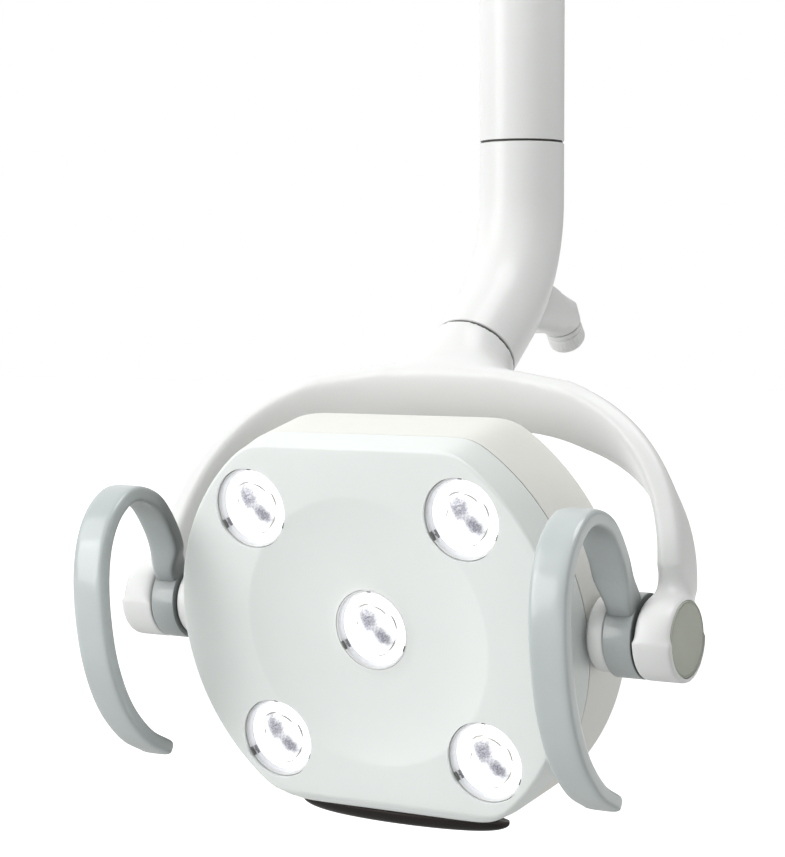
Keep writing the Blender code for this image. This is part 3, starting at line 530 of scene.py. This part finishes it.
# ---- dimmer pod and knob ------------------------------------------------------------------------
POD_STATIONS = [  # y, z and half height in mm, then the lean in degrees
    (-10.0, -214.0, 15.0, 0.0), (20.0, -217.0, 14.5, -6.0), (33.0, -220.5, 13.0, -20.0),
    (44.5, -222.0, 11.8, -38.0)]
POD_END = ((7.4, 11.7), (6.6, 11.5), (6.3, 11.1))    # distance before the knob and radius, in mm
KNOB_R = 11.4 * MM
FLUTES = 28


def pod_piece():
    def build(bm):
        loops = []
        for y, z, half, lean in curve_through(POD_STATIONS, 8):
            up = Matrix.Rotation(math.radians(lean), 3, "X") @ Vector((0.0, 0.0, 1.0))
            centre = Vector((0.0, y * MM, z * MM))
            loops.append(section(centre, ACROSS, up, 12.0 * MM, half * MM, 4.0, 64))
        up = KNOB_AXIS.cross(ACROSS)
        for lift, size in POD_END:
            centre = KNOB + KNOB_AXIS * (lift * MM)
            loops.append(section(centre, ACROSS, up, size * MM, size * MM, 2.1, 64))
        loft(bm, loops)
    pod = new_object("pod_shell", mesh_from("pod_shell", build))
    saddle = new_object("saddle", mesh_from("saddle", lambda bm: loft(bm, elbow_rings(TUBE_R + PLAY, 96))))
    pocket = cylinder("pocket", 7.5 * MM, 26.0 * MM, KNOB_FRAME @ lifted(2.3 * MM))
    cut(pod, [saddle, pocket])
    deliver(pod, "elbow", "white_paint", "pod_housing", sharp=40.0)


def knob_piece():
    r = KNOB_R
    profile = [
        (0.0, -2.3 * MM), (3.3 * MM, -2.3 * MM), (3.3 * MM, 6.0 * MM), (r - 0.6 * MM, 6.0 * MM),
        (r, 5.4 * MM), (r, 3.2 * MM), (r - 0.5 * MM, 2.8 * MM), (r - 0.5 * MM, 2.2 * MM), (r, 1.8 * MM),
        (r, -4.0 * MM), (0.93 * r, -6.1 * MM), (0.80 * r, -7.8 * MM), (0.5 * r, -9.1 * MM), (0.0, -9.6 * MM)]
    knob = lathe("knob_cap", profile, KNOB_FRAME, 96, radius=0.25 * MM)
    tools = []
    for a in turns(FLUTES):
        groove = Matrix.Translation((1.035 * r * math.cos(a), 1.035 * r * math.sin(a), -1.4 * MM))
        tools.append(cylinder("flute", 0.55 * MM, 5.0 * MM, KNOB_FRAME @ groove, 12))
    slot = mesh_from("slot", lambda bm: bmesh.ops.create_cube(bm, size=1.0))
    slot.transform(Matrix.Diagonal((1.6 * MM, 5.2 * MM, 2.4 * MM, 1.0)))
    tools.append(new_object("slot", slot, KNOB_FRAME @ Matrix.Translation((1.0 * MM, -3.4 * MM, -9.2 * MM))))
    cut(knob, tools)
    deliver(knob, "knob", "white_paint", "dimmer_knob", sharp=30.0)


# ---- yoke ---------------------------------------------------------------------------------------
LEAN = math.radians(21.8)                       # the arch's plane leans back
YOKE_SET = -9.5 * MM                            # and passes in front of the tilt axis
YOKE_HALF, YOKE_RISE, YOKE_POWER = 168.0 * MM, 149.5 * MM, 2.65
YOKE_ARCS = 150
CURL = math.radians(34.0)                       # how far the blade turns back at its crown
BLADE_THICK = (14.5 * MM, 12.0 * MM)            # at a boss and at the crown
BLADE_DEPTH = (28.0 * MM, 43.0 * MM)
NECK_GAP = 0.75 * MM
NECK_STATIONS = [  # distance up the neck's axis, half width, half depth and shift forward, in mm
    (0.9, 25.6, 25.6, 0.0), (8.0, 26.4, 25.6, 0.0), (15.0, 30.0, 24.5, 0.5), (21.0, 36.0, 22.5, 1.5),
    (27.0, 45.0, 20.5, 2.5), (32.0, 54.0, 18.5, 3.0), (39.0, 58.0, 15.5, 3.5)]
GRAIN = 1.2 * MM
CAP_R = 19.6 * MM
CAP_SEAT_R = 19.9 * MM


def blade_section(angle, around):
    """Section of the arch, whose front edge lies in the leaning plane."""
    back = Vector((0.0, math.cos(LEAN), -math.sin(LEAN)))
    rise = Vector((0.0, math.sin(LEAN), math.cos(LEAN)))
    x, z = rounded(angle, YOKE_POWER)
    outward = (ACROSS * (math.copysign(abs(x) ** (YOKE_POWER - 1.0), x) / YOKE_HALF)
               + rise * (z ** (YOKE_POWER - 1.0) / YOKE_RISE)).normalized()
    curl = CURL * z ** 1.75
    inward = back * math.cos(curl) - outward * math.sin(curl)
    upward = back * math.sin(curl) + outward * math.cos(curl)
    thick = between(*BLADE_THICK, z ** 3)
    depth = between(*BLADE_DEPTH, z)
    front = PIVOT + Vector((0.0, YOKE_SET, 0.0)) + ACROSS * (x * YOKE_HALF) + rise * (z * YOKE_RISE)
    middle = front - upward * (thick / 2) + inward * (depth / 2)
    return section(middle, inward, upward, depth / 2, thick / 2, 4.5, around)


def neck_flare():
    """Neck that spreads out into the arch."""
    forward = ACROSS.cross(NECK_AXIS)
    loops = []
    for along, wide, deep, shift in curve_through(NECK_STATIONS, 6):
        centre = NECK_END - NECK_AXIS * (along * MM) + forward * (shift * MM)
        loops.append(section(centre, ACROSS, forward, wide * MM, deep * MM, 2.0, 96))
    return new_object("neck_flare", mesh_from("neck_flare", lambda bm: loft(bm, loops)))


def boss(side):
    profile = [(0.0, BOSS_OUT), (BOSS_R, BOSS_OUT), (BOSS_R, BOSS_IN), (0.0, BOSS_IN)]
    return lathe("boss", profile, AT_PIVOT @ along_x(side, 0.0), 96, radius=1.2 * MM)


def boss_bores(side):
    """Tools for the bush, for the washer and nut, and for the cap."""
    place = AT_PIVOT @ along_x(side, 0.0)
    return [cylinder("bush_bore", 9.5 * MM, 26.0 * MM, place @ lifted(BOSS_IN + 8.0 * MM)),
            cylinder("stack_bore", 15.0 * MM, 14.4 * MM, place @ lifted(165.2 * MM)),
            cylinder("cap_seat", CAP_SEAT_R, 6.0 * MM, place @ lifted(BOSS_OUT - 0.3 * MM), 96)]


def neck_cuts():
    """Tools for the recess in the neck and for its flat end."""
    slab = 6.0 * MM
    return [cylinder("neck_recess", 22.5 * MM, 20.0 * MM, NECK @ lifted(0.8 * MM), 96),
            cylinder("neck_face", 60.0 * MM, slab, NECK @ lifted(slab / 2 - NECK_GAP), 96)]


def relax(obj, rounds, weight_of):
    """Laplacian smoothing of a mesh, weighted point by point."""
    mesh = obj.data
    count = len(mesh.vertices)
    co = np.empty(count * 3)
    mesh.vertices.foreach_get("co", co)
    co = co.reshape(-1, 3)
    ends = np.empty(len(mesh.edges) * 2, int)
    mesh.edges.foreach_get("vertices", ends)
    a, b = ends[0::2], ends[1::2]
    degree = np.bincount(a, minlength=count) + np.bincount(b, minlength=count)
    weight = weight_of(co)[:, None]
    for _ in range(rounds):
        total = np.zeros_like(co)
        for axis in range(3):
            total[:, axis] = np.bincount(a, co[b, axis], count) + np.bincount(b, co[a, axis], count)
        co = co + (total / degree[:, None] - co) * weight
    mesh.vertices.foreach_set("co", co.ravel())
    mesh.update()


def ramp(values, zero, one):
    """0 at the first limit, 1 at the second, straight between them."""
    return np.clip((values - zero) / (one - zero), 0.0, 1.0)


def join_weights(co):
    """How much each point is smoothed: only under the crown and at the bosses' roots."""
    along = (np.array(NECK_END) - co) @ np.array(NECK_AXIS)
    crown = ramp(along, 7.0 * MM, 17.0 * MM) * ramp(along, 64.0 * MM, 42.0 * MM)
    crown *= ramp(np.abs(co[:, 0]), 84.0 * MM, 64.0 * MM)
    rel = co - np.array(PIVOT)
    radial = np.hypot(rel[:, 1], rel[:, 2])
    root = ramp(np.abs(radial - 27.0 * MM), 10.0 * MM, 0.0) * (rel[:, 2] > 0)
    root *= np.abs(co[:, 0]) > BOSS_IN - 6.0 * MM
    return 0.9 * np.maximum(crown, root)


def yoke_piece():
    start = math.radians(2.0)
    loops = [blade_section(between(start, math.pi - start, i / YOKE_ARCS), 40) for i in range(YOKE_ARCS + 1)]
    yoke = new_object("yoke_casting", mesh_from("yoke_casting", lambda bm: loft(bm, loops)))
    cut(yoke, [neck_flare()] + [boss(side) for _, side in SIDES], "UNION")
    remesh = yoke.modifiers.new("grain", "REMESH")
    remesh.mode = "VOXEL"
    remesh.voxel_size = GRAIN
    settle(yoke)
    relax(yoke, 3, lambda co: np.full(len(co), 0.5))
    relax(yoke, 60, join_weights)
    tools = neck_cuts()
    for _, side in SIDES:
        tools += boss_bores(side)
    cut(yoke, tools)
    deliver(yoke, "yoke", "white_paint", "yoke_frame", sharp=45.0)


def cap_pieces():
    """Disc in each boss's end, with a fine groove near its edge."""
    profile = [(0.0, -0.15 * MM), (12.0 * MM, -0.25 * MM), (18.2 * MM, -0.5 * MM), (18.6 * MM, -0.9 * MM),
               (19.0 * MM, -0.9 * MM), (19.4 * MM, -0.35 * MM), (CAP_R, -0.5 * MM), (CAP_R, -3.0 * MM),
               (0.0, -3.0 * MM)]
    for name, side in SIDES:
        place = AT_PIVOT @ along_x(side, BOSS_OUT - 0.2 * MM)
        cap = lathe("boss_disc_" + name, profile, place, 128, radius=0.12 * MM)
        deliver(cap, "yoke", "cap", "boss_cap_" + name)


# ---- handles and collars ------------------------------------------------------------------------
HANDLE_ROUTE = [  # distance in front of the tilt axis and above it, in mm
    (6.0, 8.0), (12.5, 28.0), (17.5, 47.0), (28.5, 66.0), (46.0, 74.8), (62.0, 70.2), (74.5, 57.0),
    (82.2, 37.0), (85.2, 12.0), (83.8, -14.0), (76.5, -39.0), (62.5, -60.0), (46.0, -73.0)]
RING_MIDDLE, RING_HALF = (RING_IN + RING_OUT) / 2, (RING_OUT - RING_IN) / 2
GRIP_MIDDLE, GRIP_HALF = 140.9 * MM, 10.4 * MM  # the band's middle and half width along the tilt axis
GRIP_THICK = (7.5 * MM, 4.6 * MM)               # half thickness at the ring and in the band
GRIP_FIT = 0.998                                # keeps the band just inside the CAD's width
GRIP_TIP = 3.4 * MM
TIP_STEPS = 6
COLLAR_IN, COLLAR_LONG, COLLAR_R = 124.9 * MM, 10.4 * MM, 20.0 * MM


def grip_loops(side):
    """Band along the route, from the ring to its rounded tip."""
    route = [Vector((0.0, -n * MM, v * MM)) for n, v in curve_through(HANDLE_ROUTE, 10)]
    last = len(route) - 1
    loops = []
    for i, point in enumerate(route):
        way = (route[min(i + 1, last)] - route[max(i - 1, 0)]).normalized()
        grown = ease((point.length - 24.0 * MM) / (16.0 * MM))
        half_width = between(RING_HALF, GRIP_HALF, grown) * GRIP_FIT
        middle = ACROSS * (side * between(RING_MIDDLE, GRIP_MIDDLE, grown))
        half_thick = between(*GRIP_THICK, grown)
        loops.append(section(point + middle, ACROSS, way.cross(ACROSS), half_width, half_thick, 5.0, 64))
    for k in range(1, TIP_STEPS + 1):
        a = math.pi / 2 * k / TIP_STEPS
        shrink = math.cos(a) ** 0.5 if k < TIP_STEPS else 0.16
        tip = route[-1] + way * (GRIP_TIP * math.sin(a)) + ACROSS * (side * GRIP_MIDDLE)
        half_width = GRIP_HALF * (0.7 + 0.3 * shrink) * GRIP_FIT
        loops.append(section(tip, ACROSS, way.cross(ACROSS), half_width, GRIP_THICK[1] * shrink, 4.4, 64))
    return loops


def grip_piece(name, side):
    loops = grip_loops(side)
    grip = new_object("grip_band_" + name, mesh_from("grip_band_" + name, lambda bm: loft(bm, loops)), HEAD)
    place = HEAD @ along_x(side, RING_MIDDLE)
    eye_r = BOSS_R - 0.2 * MM
    eye = lathe("eye", [(0.0, RING_HALF), (eye_r, RING_HALF), (eye_r, -RING_HALF), (0.0, -RING_HALF)],
                place, 96, radius=0.8 * MM)
    cut(grip, [eye], "UNION")
    cut(grip, [cylinder("bore", SHAFT_R + PLAY, 40.0 * MM, place)])
    deliver(grip, "head", "grip", "handle_" + name, sharp=38.0)


def collar_piece(name, side):
    bore, chamfer = SHAFT_R + PLAY, 1.0 * MM
    profile = [(COLLAR_R - chamfer, COLLAR_LONG), (COLLAR_R, COLLAR_LONG - chamfer),
               (COLLAR_R, 1.5 * MM), (COLLAR_R - 1.5 * MM, 0.0), (bore, 0.0), (bore, COLLAR_LONG)]
    place = HEAD @ along_x(side, COLLAR_IN)
    collar = lathe("hub_" + name, profile, place, 96, closed=True, radius=0.5 * MM)
    deliver(collar, "head", "white_paint", "collar_" + name)


# ---- lamp head ----------------------------------------------------------------------------------
# Distances called n run out of the face from the tilt axis.
FACE_N, SEAM_N, REAR_N, BACK_N = 32.8 * MM, 11.4 * MM, -24.0 * MM, -47.0 * MM
FACE_R, CHORD_TOP, CHORD_BOTTOM = 120.0 * MM, 102.0 * MM, 100.0 * MM
CORNER = 55.0                                   # power that rounds the corners at the chords' ends
LIP_RISE, LIP_N, LIP_LONG = 3.4 * MM, 28.6 * MM, 4.0 * MM
WALL = 3.0 * MM
EDGE_R = 2.0 * MM
DISH_R, DISH_DEEP = 74.2 * MM, 6.7 * MM
VENT_LONG, VENT_STEP, VENT_PITCH, VENT_R = 88.0 * MM, 9.0 * MM, 10.0 * MM, 2.0 * MM

WINDOW_N, WINDOW_TALL, WINDOW_HALF = 13.3 * MM, 10.7 * MM, 66.4 * MM
WINDOW_SUNK, WINDOW_PROUD, WINDOW_BULGE = 0.8 * MM, 1.2 * MM, 6.9 * MM

LENS_PITCH = 66.0 * MM                          # from the middle lens, across and up
RING_R = 22.2 * MM
MIDDLE_N, OUTER_N = 26.0 * MM, 30.6 * MM
LENSES = (("middle", 0, 0), ("upper_left", -1, 1), ("upper_right", 1, 1), ("lower_left", -1, -1),
          ("lower_right", 1, -1))
LENS_DEEP = 9.0 * MM
SEAT = 1.8 * MM - LENS_DEEP
DOME_R, DOME_FOOT, DOME_RISE, LENS_R = 17.4 * MM, SEAT + 1.2 * MM, 7.4 * MM, 19.9 * MM
DOME_STEPS = 24
GLINTS = (  # start and stop in degrees, radius and half width in mm
    (44, 82, 13.2, 0.34), (94, 126, 14.0, 0.42), (146, 174, 9.0, 0.34), (-56, -18, 14.2, 0.38),
    (-88, -62, 15.0, 0.30), (4, 34, 14.8, 0.34))
GLINT_STEPS = 24
CLIP_BARS = (  # angle in degrees, then radius, length, width and height in mm
    (208, 21.3, 5.0, 1.2, -0.4), (-25, 21.4, 3.6, 0.9, -0.5), (88, 21.3, 2.4, 0.7, -0.5))
KEY_BARS = ((208, 18.8, 4.8, 1.0, -1.0), (208, 20.0, 0.5, 2.0, -2.0))
BAR_THICK = 1.4


def belly(n):
    """How far the shell swells downwards, deepest between the lower lip and the seam."""
    return 3.0 * MM * ease((30.5 * MM - n) / (6.5 * MM)) * ease((n + 22.0 * MM) / (30.0 * MM))


def outline(n, scale, inset=0.0, count=240):
    """Disc cut off by a chord at the top and the bottom, with rounded corners."""
    loop = []
    for a in turns(count, 0.5):
        c, s = math.cos(a), math.sin(a)
        lip = LIP_RISE * min(1.0, max(0.0, (n - LIP_N) / LIP_LONG))
        chord = CHORD_TOP if s > 0.0 else CHORD_BOTTOM - lip + belly(n)
        r = ((1.0 / FACE_R) ** CORNER + (abs(s) / chord) ** CORNER) ** (-1.0 / CORNER)
        r = scale * r - inset
        loop.append(Vector((r * c, -n, r * s)))
    return loop


def ring_loop(n, radius, count=240):
    return [Vector((radius * math.cos(a), -n, radius * math.sin(a))) for a in turns(count, 0.5)]


def shell_scale(n):
    """Size of the shell's outline at n, compared with the face."""
    stations = ((REAR_N, 1.037), (SEAM_N, 1.0245), (FACE_N, 1.0))
    for (low, first), (high, last) in zip(stations, stations[1:]):
        if n <= high:
            return between(first, last, (n - low) / (high - low))
    return 1.0


def lens_place(sx, sy):
    front = OUTER_N if sx else MIDDLE_N
    return HEAD @ Matrix.Translation((sx * LENS_PITCH, -front, sy * LENS_PITCH)) @ OUT_OF_FACE


def walled(obj, thickness):
    modifier = obj.modifiers.new("wall", "SOLIDIFY")
    modifier.thickness = thickness
    modifier.offset = -1.0
    modifier.use_even_offset = True


def front_cover_piece():
    """Side wall from the seam, rounded rim, flat face, then the dish down to the middle lens."""
    wall = ((SEAM_N + 0.25 * MM, 1.0225), (SEAM_N + 0.6 * MM, 1.0242), (SEAM_N + 1.6 * MM, 1.0238),
            (20.0 * MM, 1.0150), (24.0 * MM, 1.0100), (25.6 * MM, 1.0080), (27.0 * MM, 1.0062),
            (LIP_N, 1.0045), (29.6 * MM, 1.0038))
    loops = [outline(n, scale) for n, scale in wall]
    for k in range(7):
        a = math.pi / 2 * k / 6
        n = FACE_N - EDGE_R + EDGE_R * math.sin(a)
        loops.append(outline(n, 1.0030, EDGE_R * (1 - math.cos(a))))
    loops.append(outline(FACE_N - 0.02 * MM, 0.955))
    rim = FACE_N - 0.4 * MM
    loops += [ring_loop(rim + 0.1 * MM, DISH_R + 2.0 * MM), ring_loop(rim, DISH_R + 0.8 * MM)]
    for radius in (74.0, 72.6, 70.0, 66.0, 60.0, 54.0, 48.0, 42.0, 36.0, 30.0, 25.0):
        fall = DISH_DEEP * (1.0 - (radius * MM / DISH_R) ** 3)
        loops.append(ring_loop(rim - 0.14 * MM - fall, radius * MM))
    loops.append(ring_loop(MIDDLE_N + 0.3 * MM, RING_R + PLAY))
    front = new_object("face_shell", mesh_from("face_shell", lambda bm: loft(bm, loops, False, False)), HEAD)
    walled(front, WALL)
    tools = [cylinder("hole", RING_R + PLAY, 40.0 * MM, lens_place(sx, sy), 96) for _, sx, sy in LENSES[1:]]
    cut(front, tools)
    deliver(front, "head", "face_plastic", "front_cover", sharp=34.0)


def vent(row):
    """Tool for a slot with round ends."""
    half = (VENT_LONG - abs(row) * VENT_STEP) / 2 - VENT_R

    def build(bm):
        loops = []
        for y in (-10.0 * MM, 10.0 * MM):
            loops.append([Vector((math.copysign(half, math.cos(a)) + VENT_R * math.cos(a), y,
                                  VENT_R * math.sin(a))) for a in turns(32, 0.5)])
        loft(bm, loops)
    place = HEAD @ Matrix.Translation((0, -BACK_N, row * VENT_PITCH))
    return new_object("vent", mesh_from("vent", build), place)


def rear_cover_piece():
    wall = ((SEAM_N - 0.25 * MM, 1.0225), (SEAM_N - 0.6 * MM, 1.0243), (SEAM_N - 1.6 * MM, 1.0247),
            (-6.0 * MM, 1.0306))
    back = curve_through([(REAR_N / MM, 1.037), (-30.5, 1.029), (-36.5, 1.000), (-41.5, 0.945), (-44.6, 0.87),
                          (-46.3, 0.77), (BACK_N / MM, 0.62)], 4)
    loops = [outline(n, scale) for n, scale in wall] + [outline(n * MM, scale) for n, scale in back]
    rear = new_object("rear_shell", mesh_from("rear_shell", lambda bm: loft(bm, loops, False, True)), HEAD)
    walled(rear, WALL)
    tools = [vent(row) for row in range(-3, 4)]
    for _, side in SIDES:
        tools.append(cylinder("hole", SHAFT_R + PLAY, 24.0 * MM, HEAD @ along_x(side, 120.0 * MM)))
    cut(rear, tools)
    deliver(rear, "head", "rear_plastic", "rear_cover", sharp=34.0)


def window_piece():
    """Bulging pane that follows the lower lip. Shares below zero are its hidden back."""
    def build(bm):
        shares = [0.02] + [math.sin(math.pi / 2 * k / 18) for k in range(1, 19)]
        loops = []
        for share in shares + [-1.0, -0.6, -0.02]:
            loop = []
            for angle in turns(96, 0.5):
                a, b = rounded(angle, 1.95)
                n = WINDOW_N + WINDOW_TALL * abs(share) * b
                v = -(CHORD_BOTTOM + belly(n)) * shell_scale(n) - WINDOW_SUNK
                if share > 0.0:
                    v -= WINDOW_PROUD + WINDOW_BULGE * (1.0 - share ** 5.0) ** 0.52
                loop.append(Vector((WINDOW_HALF * abs(share) * a, -n, v)))
            loops.append(loop)
        loft(bm, loops)
    glass = new_object("sensor_glass", mesh_from("sensor_glass", build), HEAD)
    deliver(glass, "head", "window", "sensor_window", sharp=50.0)


def bezel_piece(name, place):
    foot = 1.4 * MM - LENS_DEEP
    profile = [(RING_R, 0.0), (RING_R, -LENS_DEEP), (18.8 * MM, -LENS_DEEP), (18.8 * MM, foot),
               (20.2 * MM, foot), (20.4 * MM, -1.6 * MM), (20.9 * MM, -0.5 * MM), (21.4 * MM, 0.0)]
    bezel = lathe("lens_bezel_" + name, profile, place, 128, closed=True, radius=0.25 * MM)
    deliver(bezel, "head", "lens_ring", "lens_ring_" + name)


def dome_piece(name, place):
    """Dome on a flange that rests in the bezel."""
    profile = [(0.0, DOME_FOOT + DOME_RISE)]
    for k in range(1, DOME_STEPS + 1):
        a = math.pi / 2 * (1 - k / DOME_STEPS)
        profile.append((DOME_R * math.cos(a), DOME_FOOT + DOME_RISE * math.sin(a)))
    profile += [(17.7 * MM, SEAT + 0.7 * MM), (18.3 * MM, SEAT + 0.7 * MM), (18.6 * MM, SEAT + 2.6 * MM),
                (19.2 * MM, SEAT + 3.4 * MM), (LENS_R, SEAT + 3.4 * MM), (LENS_R, SEAT - 0.1 * MM),
                (0.0, SEAT - 0.1 * MM)]
    lens = lathe("lens_dome_" + name, profile, place, 96)
    deliver(lens, "head", "lens", "lens_" + name, sharp=28.0, own_axes=True)


def dome_height(x, y):
    inside = max(0.0, 1.0 - (x * x + y * y) / DOME_R ** 2)
    return DOME_FOOT + DOME_RISE * math.sqrt(inside)


def glint_strip(start, stop, radius, half):
    """Thin raised line that follows an arc on the dome."""
    loops = []
    for k in range(GLINT_STEPS + 1):
        a = math.radians(start + (stop - start) * k / GLINT_STEPS)
        width = half * MM * max(0.12, math.sin(math.pi * k / GLINT_STEPS) ** 0.5)
        loop = []
        for shift, lift in ((-1, -0.2), (-0.6, 0.3), (0.6, 0.3), (1, -0.2)):
            r = radius * MM + shift * width
            x, y = r * math.cos(a), r * math.sin(a)
            loop.append(Vector((x, y, dome_height(x, y) + lift * MM)))
        loops.append(loop)
    return loops


def glint_piece(name, place):
    def build(bm):
        for numbers in GLINTS:
            loft(bm, glint_strip(*numbers))
    glint = new_object("lens_glint_" + name, mesh_from("lens_glint_" + name, build), place)
    deliver(glint, "head", "lens_glint", slot="lens_ring", sharp=60.0)


def bars_piece(name, place, material, bars):
    """Small bars set round the lens."""
    def build(bm):
        for angle, radius, long, wide, height in bars:
            turn = Matrix.Rotation(math.radians(angle), 3, "Z")
            made = bmesh.ops.create_cube(bm, size=1.0)["verts"]
            bmesh.ops.scale(bm, vec=(wide * MM, long * MM, BAR_THICK * MM), verts=made)
            bmesh.ops.translate(bm, vec=(radius * MM, 0.0, height * MM), verts=made)
            bmesh.ops.rotate(bm, cent=(0, 0, 0), matrix=turn, verts=made)
    piece = new_object(name, mesh_from(name, build), place)
    chamfer = piece.modifiers.new("edge", "BEVEL")
    chamfer.width = 0.2 * MM
    chamfer.segments = 2
    deliver(piece, "head", material, sharp=30.0)


tube_pieces()
elbow_pieces()
pod_piece()
knob_piece()
yoke_piece()
cap_pieces()
for name, side in SIDES:
    grip_piece(name, side)
    collar_piece(name, side)
front_cover_piece()
rear_cover_piece()
window_piece()
for name, sx, sy in LENSES:
    place = lens_place(sx, sy)
    bezel_piece(name, place)
    dome_piece(name, place)
    glint_piece(name, place)
    bars_piece("lens_clip_" + name, place, "dark", CLIP_BARS)
    bars_piece("lens_key_" + name, place, "polymer", KEY_BARS)

for node in frame["nodes"].values():
    for index, material in enumerate(list(node.data.materials)):
        base = material.name.split(".")[0] if material else ""
        node.data.materials[index] = MATERIALS.get(base, MATERIALS["steel"])


# ---- studio -------------------------------------------------------------------------------------
CAMERA_PLACE = Vector((0.6515, -1.1883, -0.2217))
CAMERA_HEADING = Vector((-0.5294, 0.8484, 0.0))
CAMERA_PITCH = math.radians(-2.8475)
CAMERA_LENS, CAMERA_SENSOR = 104.5605, 36.0     # focal length and sensor width in camera millimetres
FLOOR_DROP = 0.85                               # below the part's lowest point
FLOOR_HALF = 30.0


def sky_ramp(tree, direction, limits, smooth=False):
    """Value that changes along a direction. limits holds the share's ends and then the value's ends."""
    coords = tree.nodes.new("ShaderNodeTexCoord")
    dot = tree.nodes.new("ShaderNodeVectorMath")
    dot.operation = "DOT_PRODUCT"
    dot.inputs[1].default_value = direction
    tree.links.new(coords.outputs["Generated"], dot.inputs[0])
    spread = tree.nodes.new("ShaderNodeMapRange")
    if smooth:
        spread.interpolation_type = "SMOOTHSTEP"
    for label, number in zip(("From Min", "From Max", "To Min", "To Max"), limits):
        spread.inputs[label].default_value = number
    tree.links.new(dot.outputs["Value"], spread.inputs["Value"])
    return spread.outputs["Result"]


def sky():
    """World light: bright behind the part, dimmer in front of it and dimmer still to its right."""
    world = bpy.data.worlds.new("studio")
    world.use_nodes = True
    bpy.context.scene.world = world
    tree = world.node_tree
    both = tree.nodes.new("ShaderNodeMath")
    both.operation = "MULTIPLY"
    behind = sky_ramp(tree, Vector((-0.55, 0.80, 0.25)).normalized(), (-1.0, 0.8, 0.0, 1.0))
    beside = sky_ramp(tree, (-0.966, -0.259, 0.0), (-0.20, 0.10, 0.42, 1.0), smooth=True)
    tree.links.new(behind, both.inputs[0])
    tree.links.new(beside, both.inputs[1])
    shades = tree.nodes.new("ShaderNodeValToRGB")
    stops = shades.color_ramp.elements
    stops[0].position, stops[0].color = 0.0, (0.13, 0.135, 0.125, 1.0)
    stops[1].position, stops[1].color = 1.0, (1.0, 1.0, 1.0, 1.0)
    for place, grey in ((0.45, 0.34), (0.78, 0.62)):
        stops.new(place).color = (grey, grey * 1.01, grey * 0.99, 1.0)
    tree.links.new(both.outputs["Value"], shades.inputs["Fac"])
    background = tree.nodes["Background"]
    tree.links.new(shades.outputs["Color"], background.inputs["Color"])
    background.inputs["Strength"].default_value = 1.0


def area_light(name, spot, target, size, power):
    data = bpy.data.lights.new(name, "AREA")
    data.shape = "DISK"
    data.size = size
    data.energy = power
    light = bpy.data.objects.new(name, data)
    light.location = spot
    light.rotation_euler = (Vector(target) - Vector(spot)).to_track_quat("-Z", "Y").to_euler()
    bpy.context.scene.collection.objects.link(light)


def ground():
    mesh = mesh_from("studio_floor",
                     lambda bm: bmesh.ops.create_grid(bm, x_segments=8, y_segments=8, size=FLOOR_HALF))
    height = cad_bounds[0][2] - FLOOR_DROP
    plane = new_object("studio_floor", mesh, Matrix.Translation((0.0, 0.0, height)))
    plane.data.materials.append(floor_material())


def photo_camera():
    """Camera that sees the part as the photograph does."""
    camera = bpy.data.cameras.new("camera")
    camera.sensor_fit = "HORIZONTAL"
    camera.sensor_width = CAMERA_SENSOR
    camera.lens = CAMERA_LENS
    camera.clip_start = 0.01
    view = bpy.data.objects.new("camera", camera)
    view.location = CAMERA_PLACE
    forward = CAMERA_HEADING * math.cos(CAMERA_PITCH) + Vector((0.0, 0.0, math.sin(CAMERA_PITCH)))
    view.rotation_euler = forward.to_track_quat("-Z", "Y").to_euler()
    bpy.context.scene.collection.objects.link(view)
    bpy.context.scene.camera = view


sky()
area_light("key", (-1.7, -1.7, 0.9), (0.0, -0.1, -0.3), 1.4, 13.5)
area_light("top", (0.4, -0.3, 1.5), (0.0, -0.1, -0.3), 1.3, 21.0)
area_light("front", (-1.3, -2.0, 0.0), (0.0, -0.1, -0.35), 1.2, 19.0)
ground()
photo_camera()
bpy.context.scene.view_settings.view_transform = "Standard"
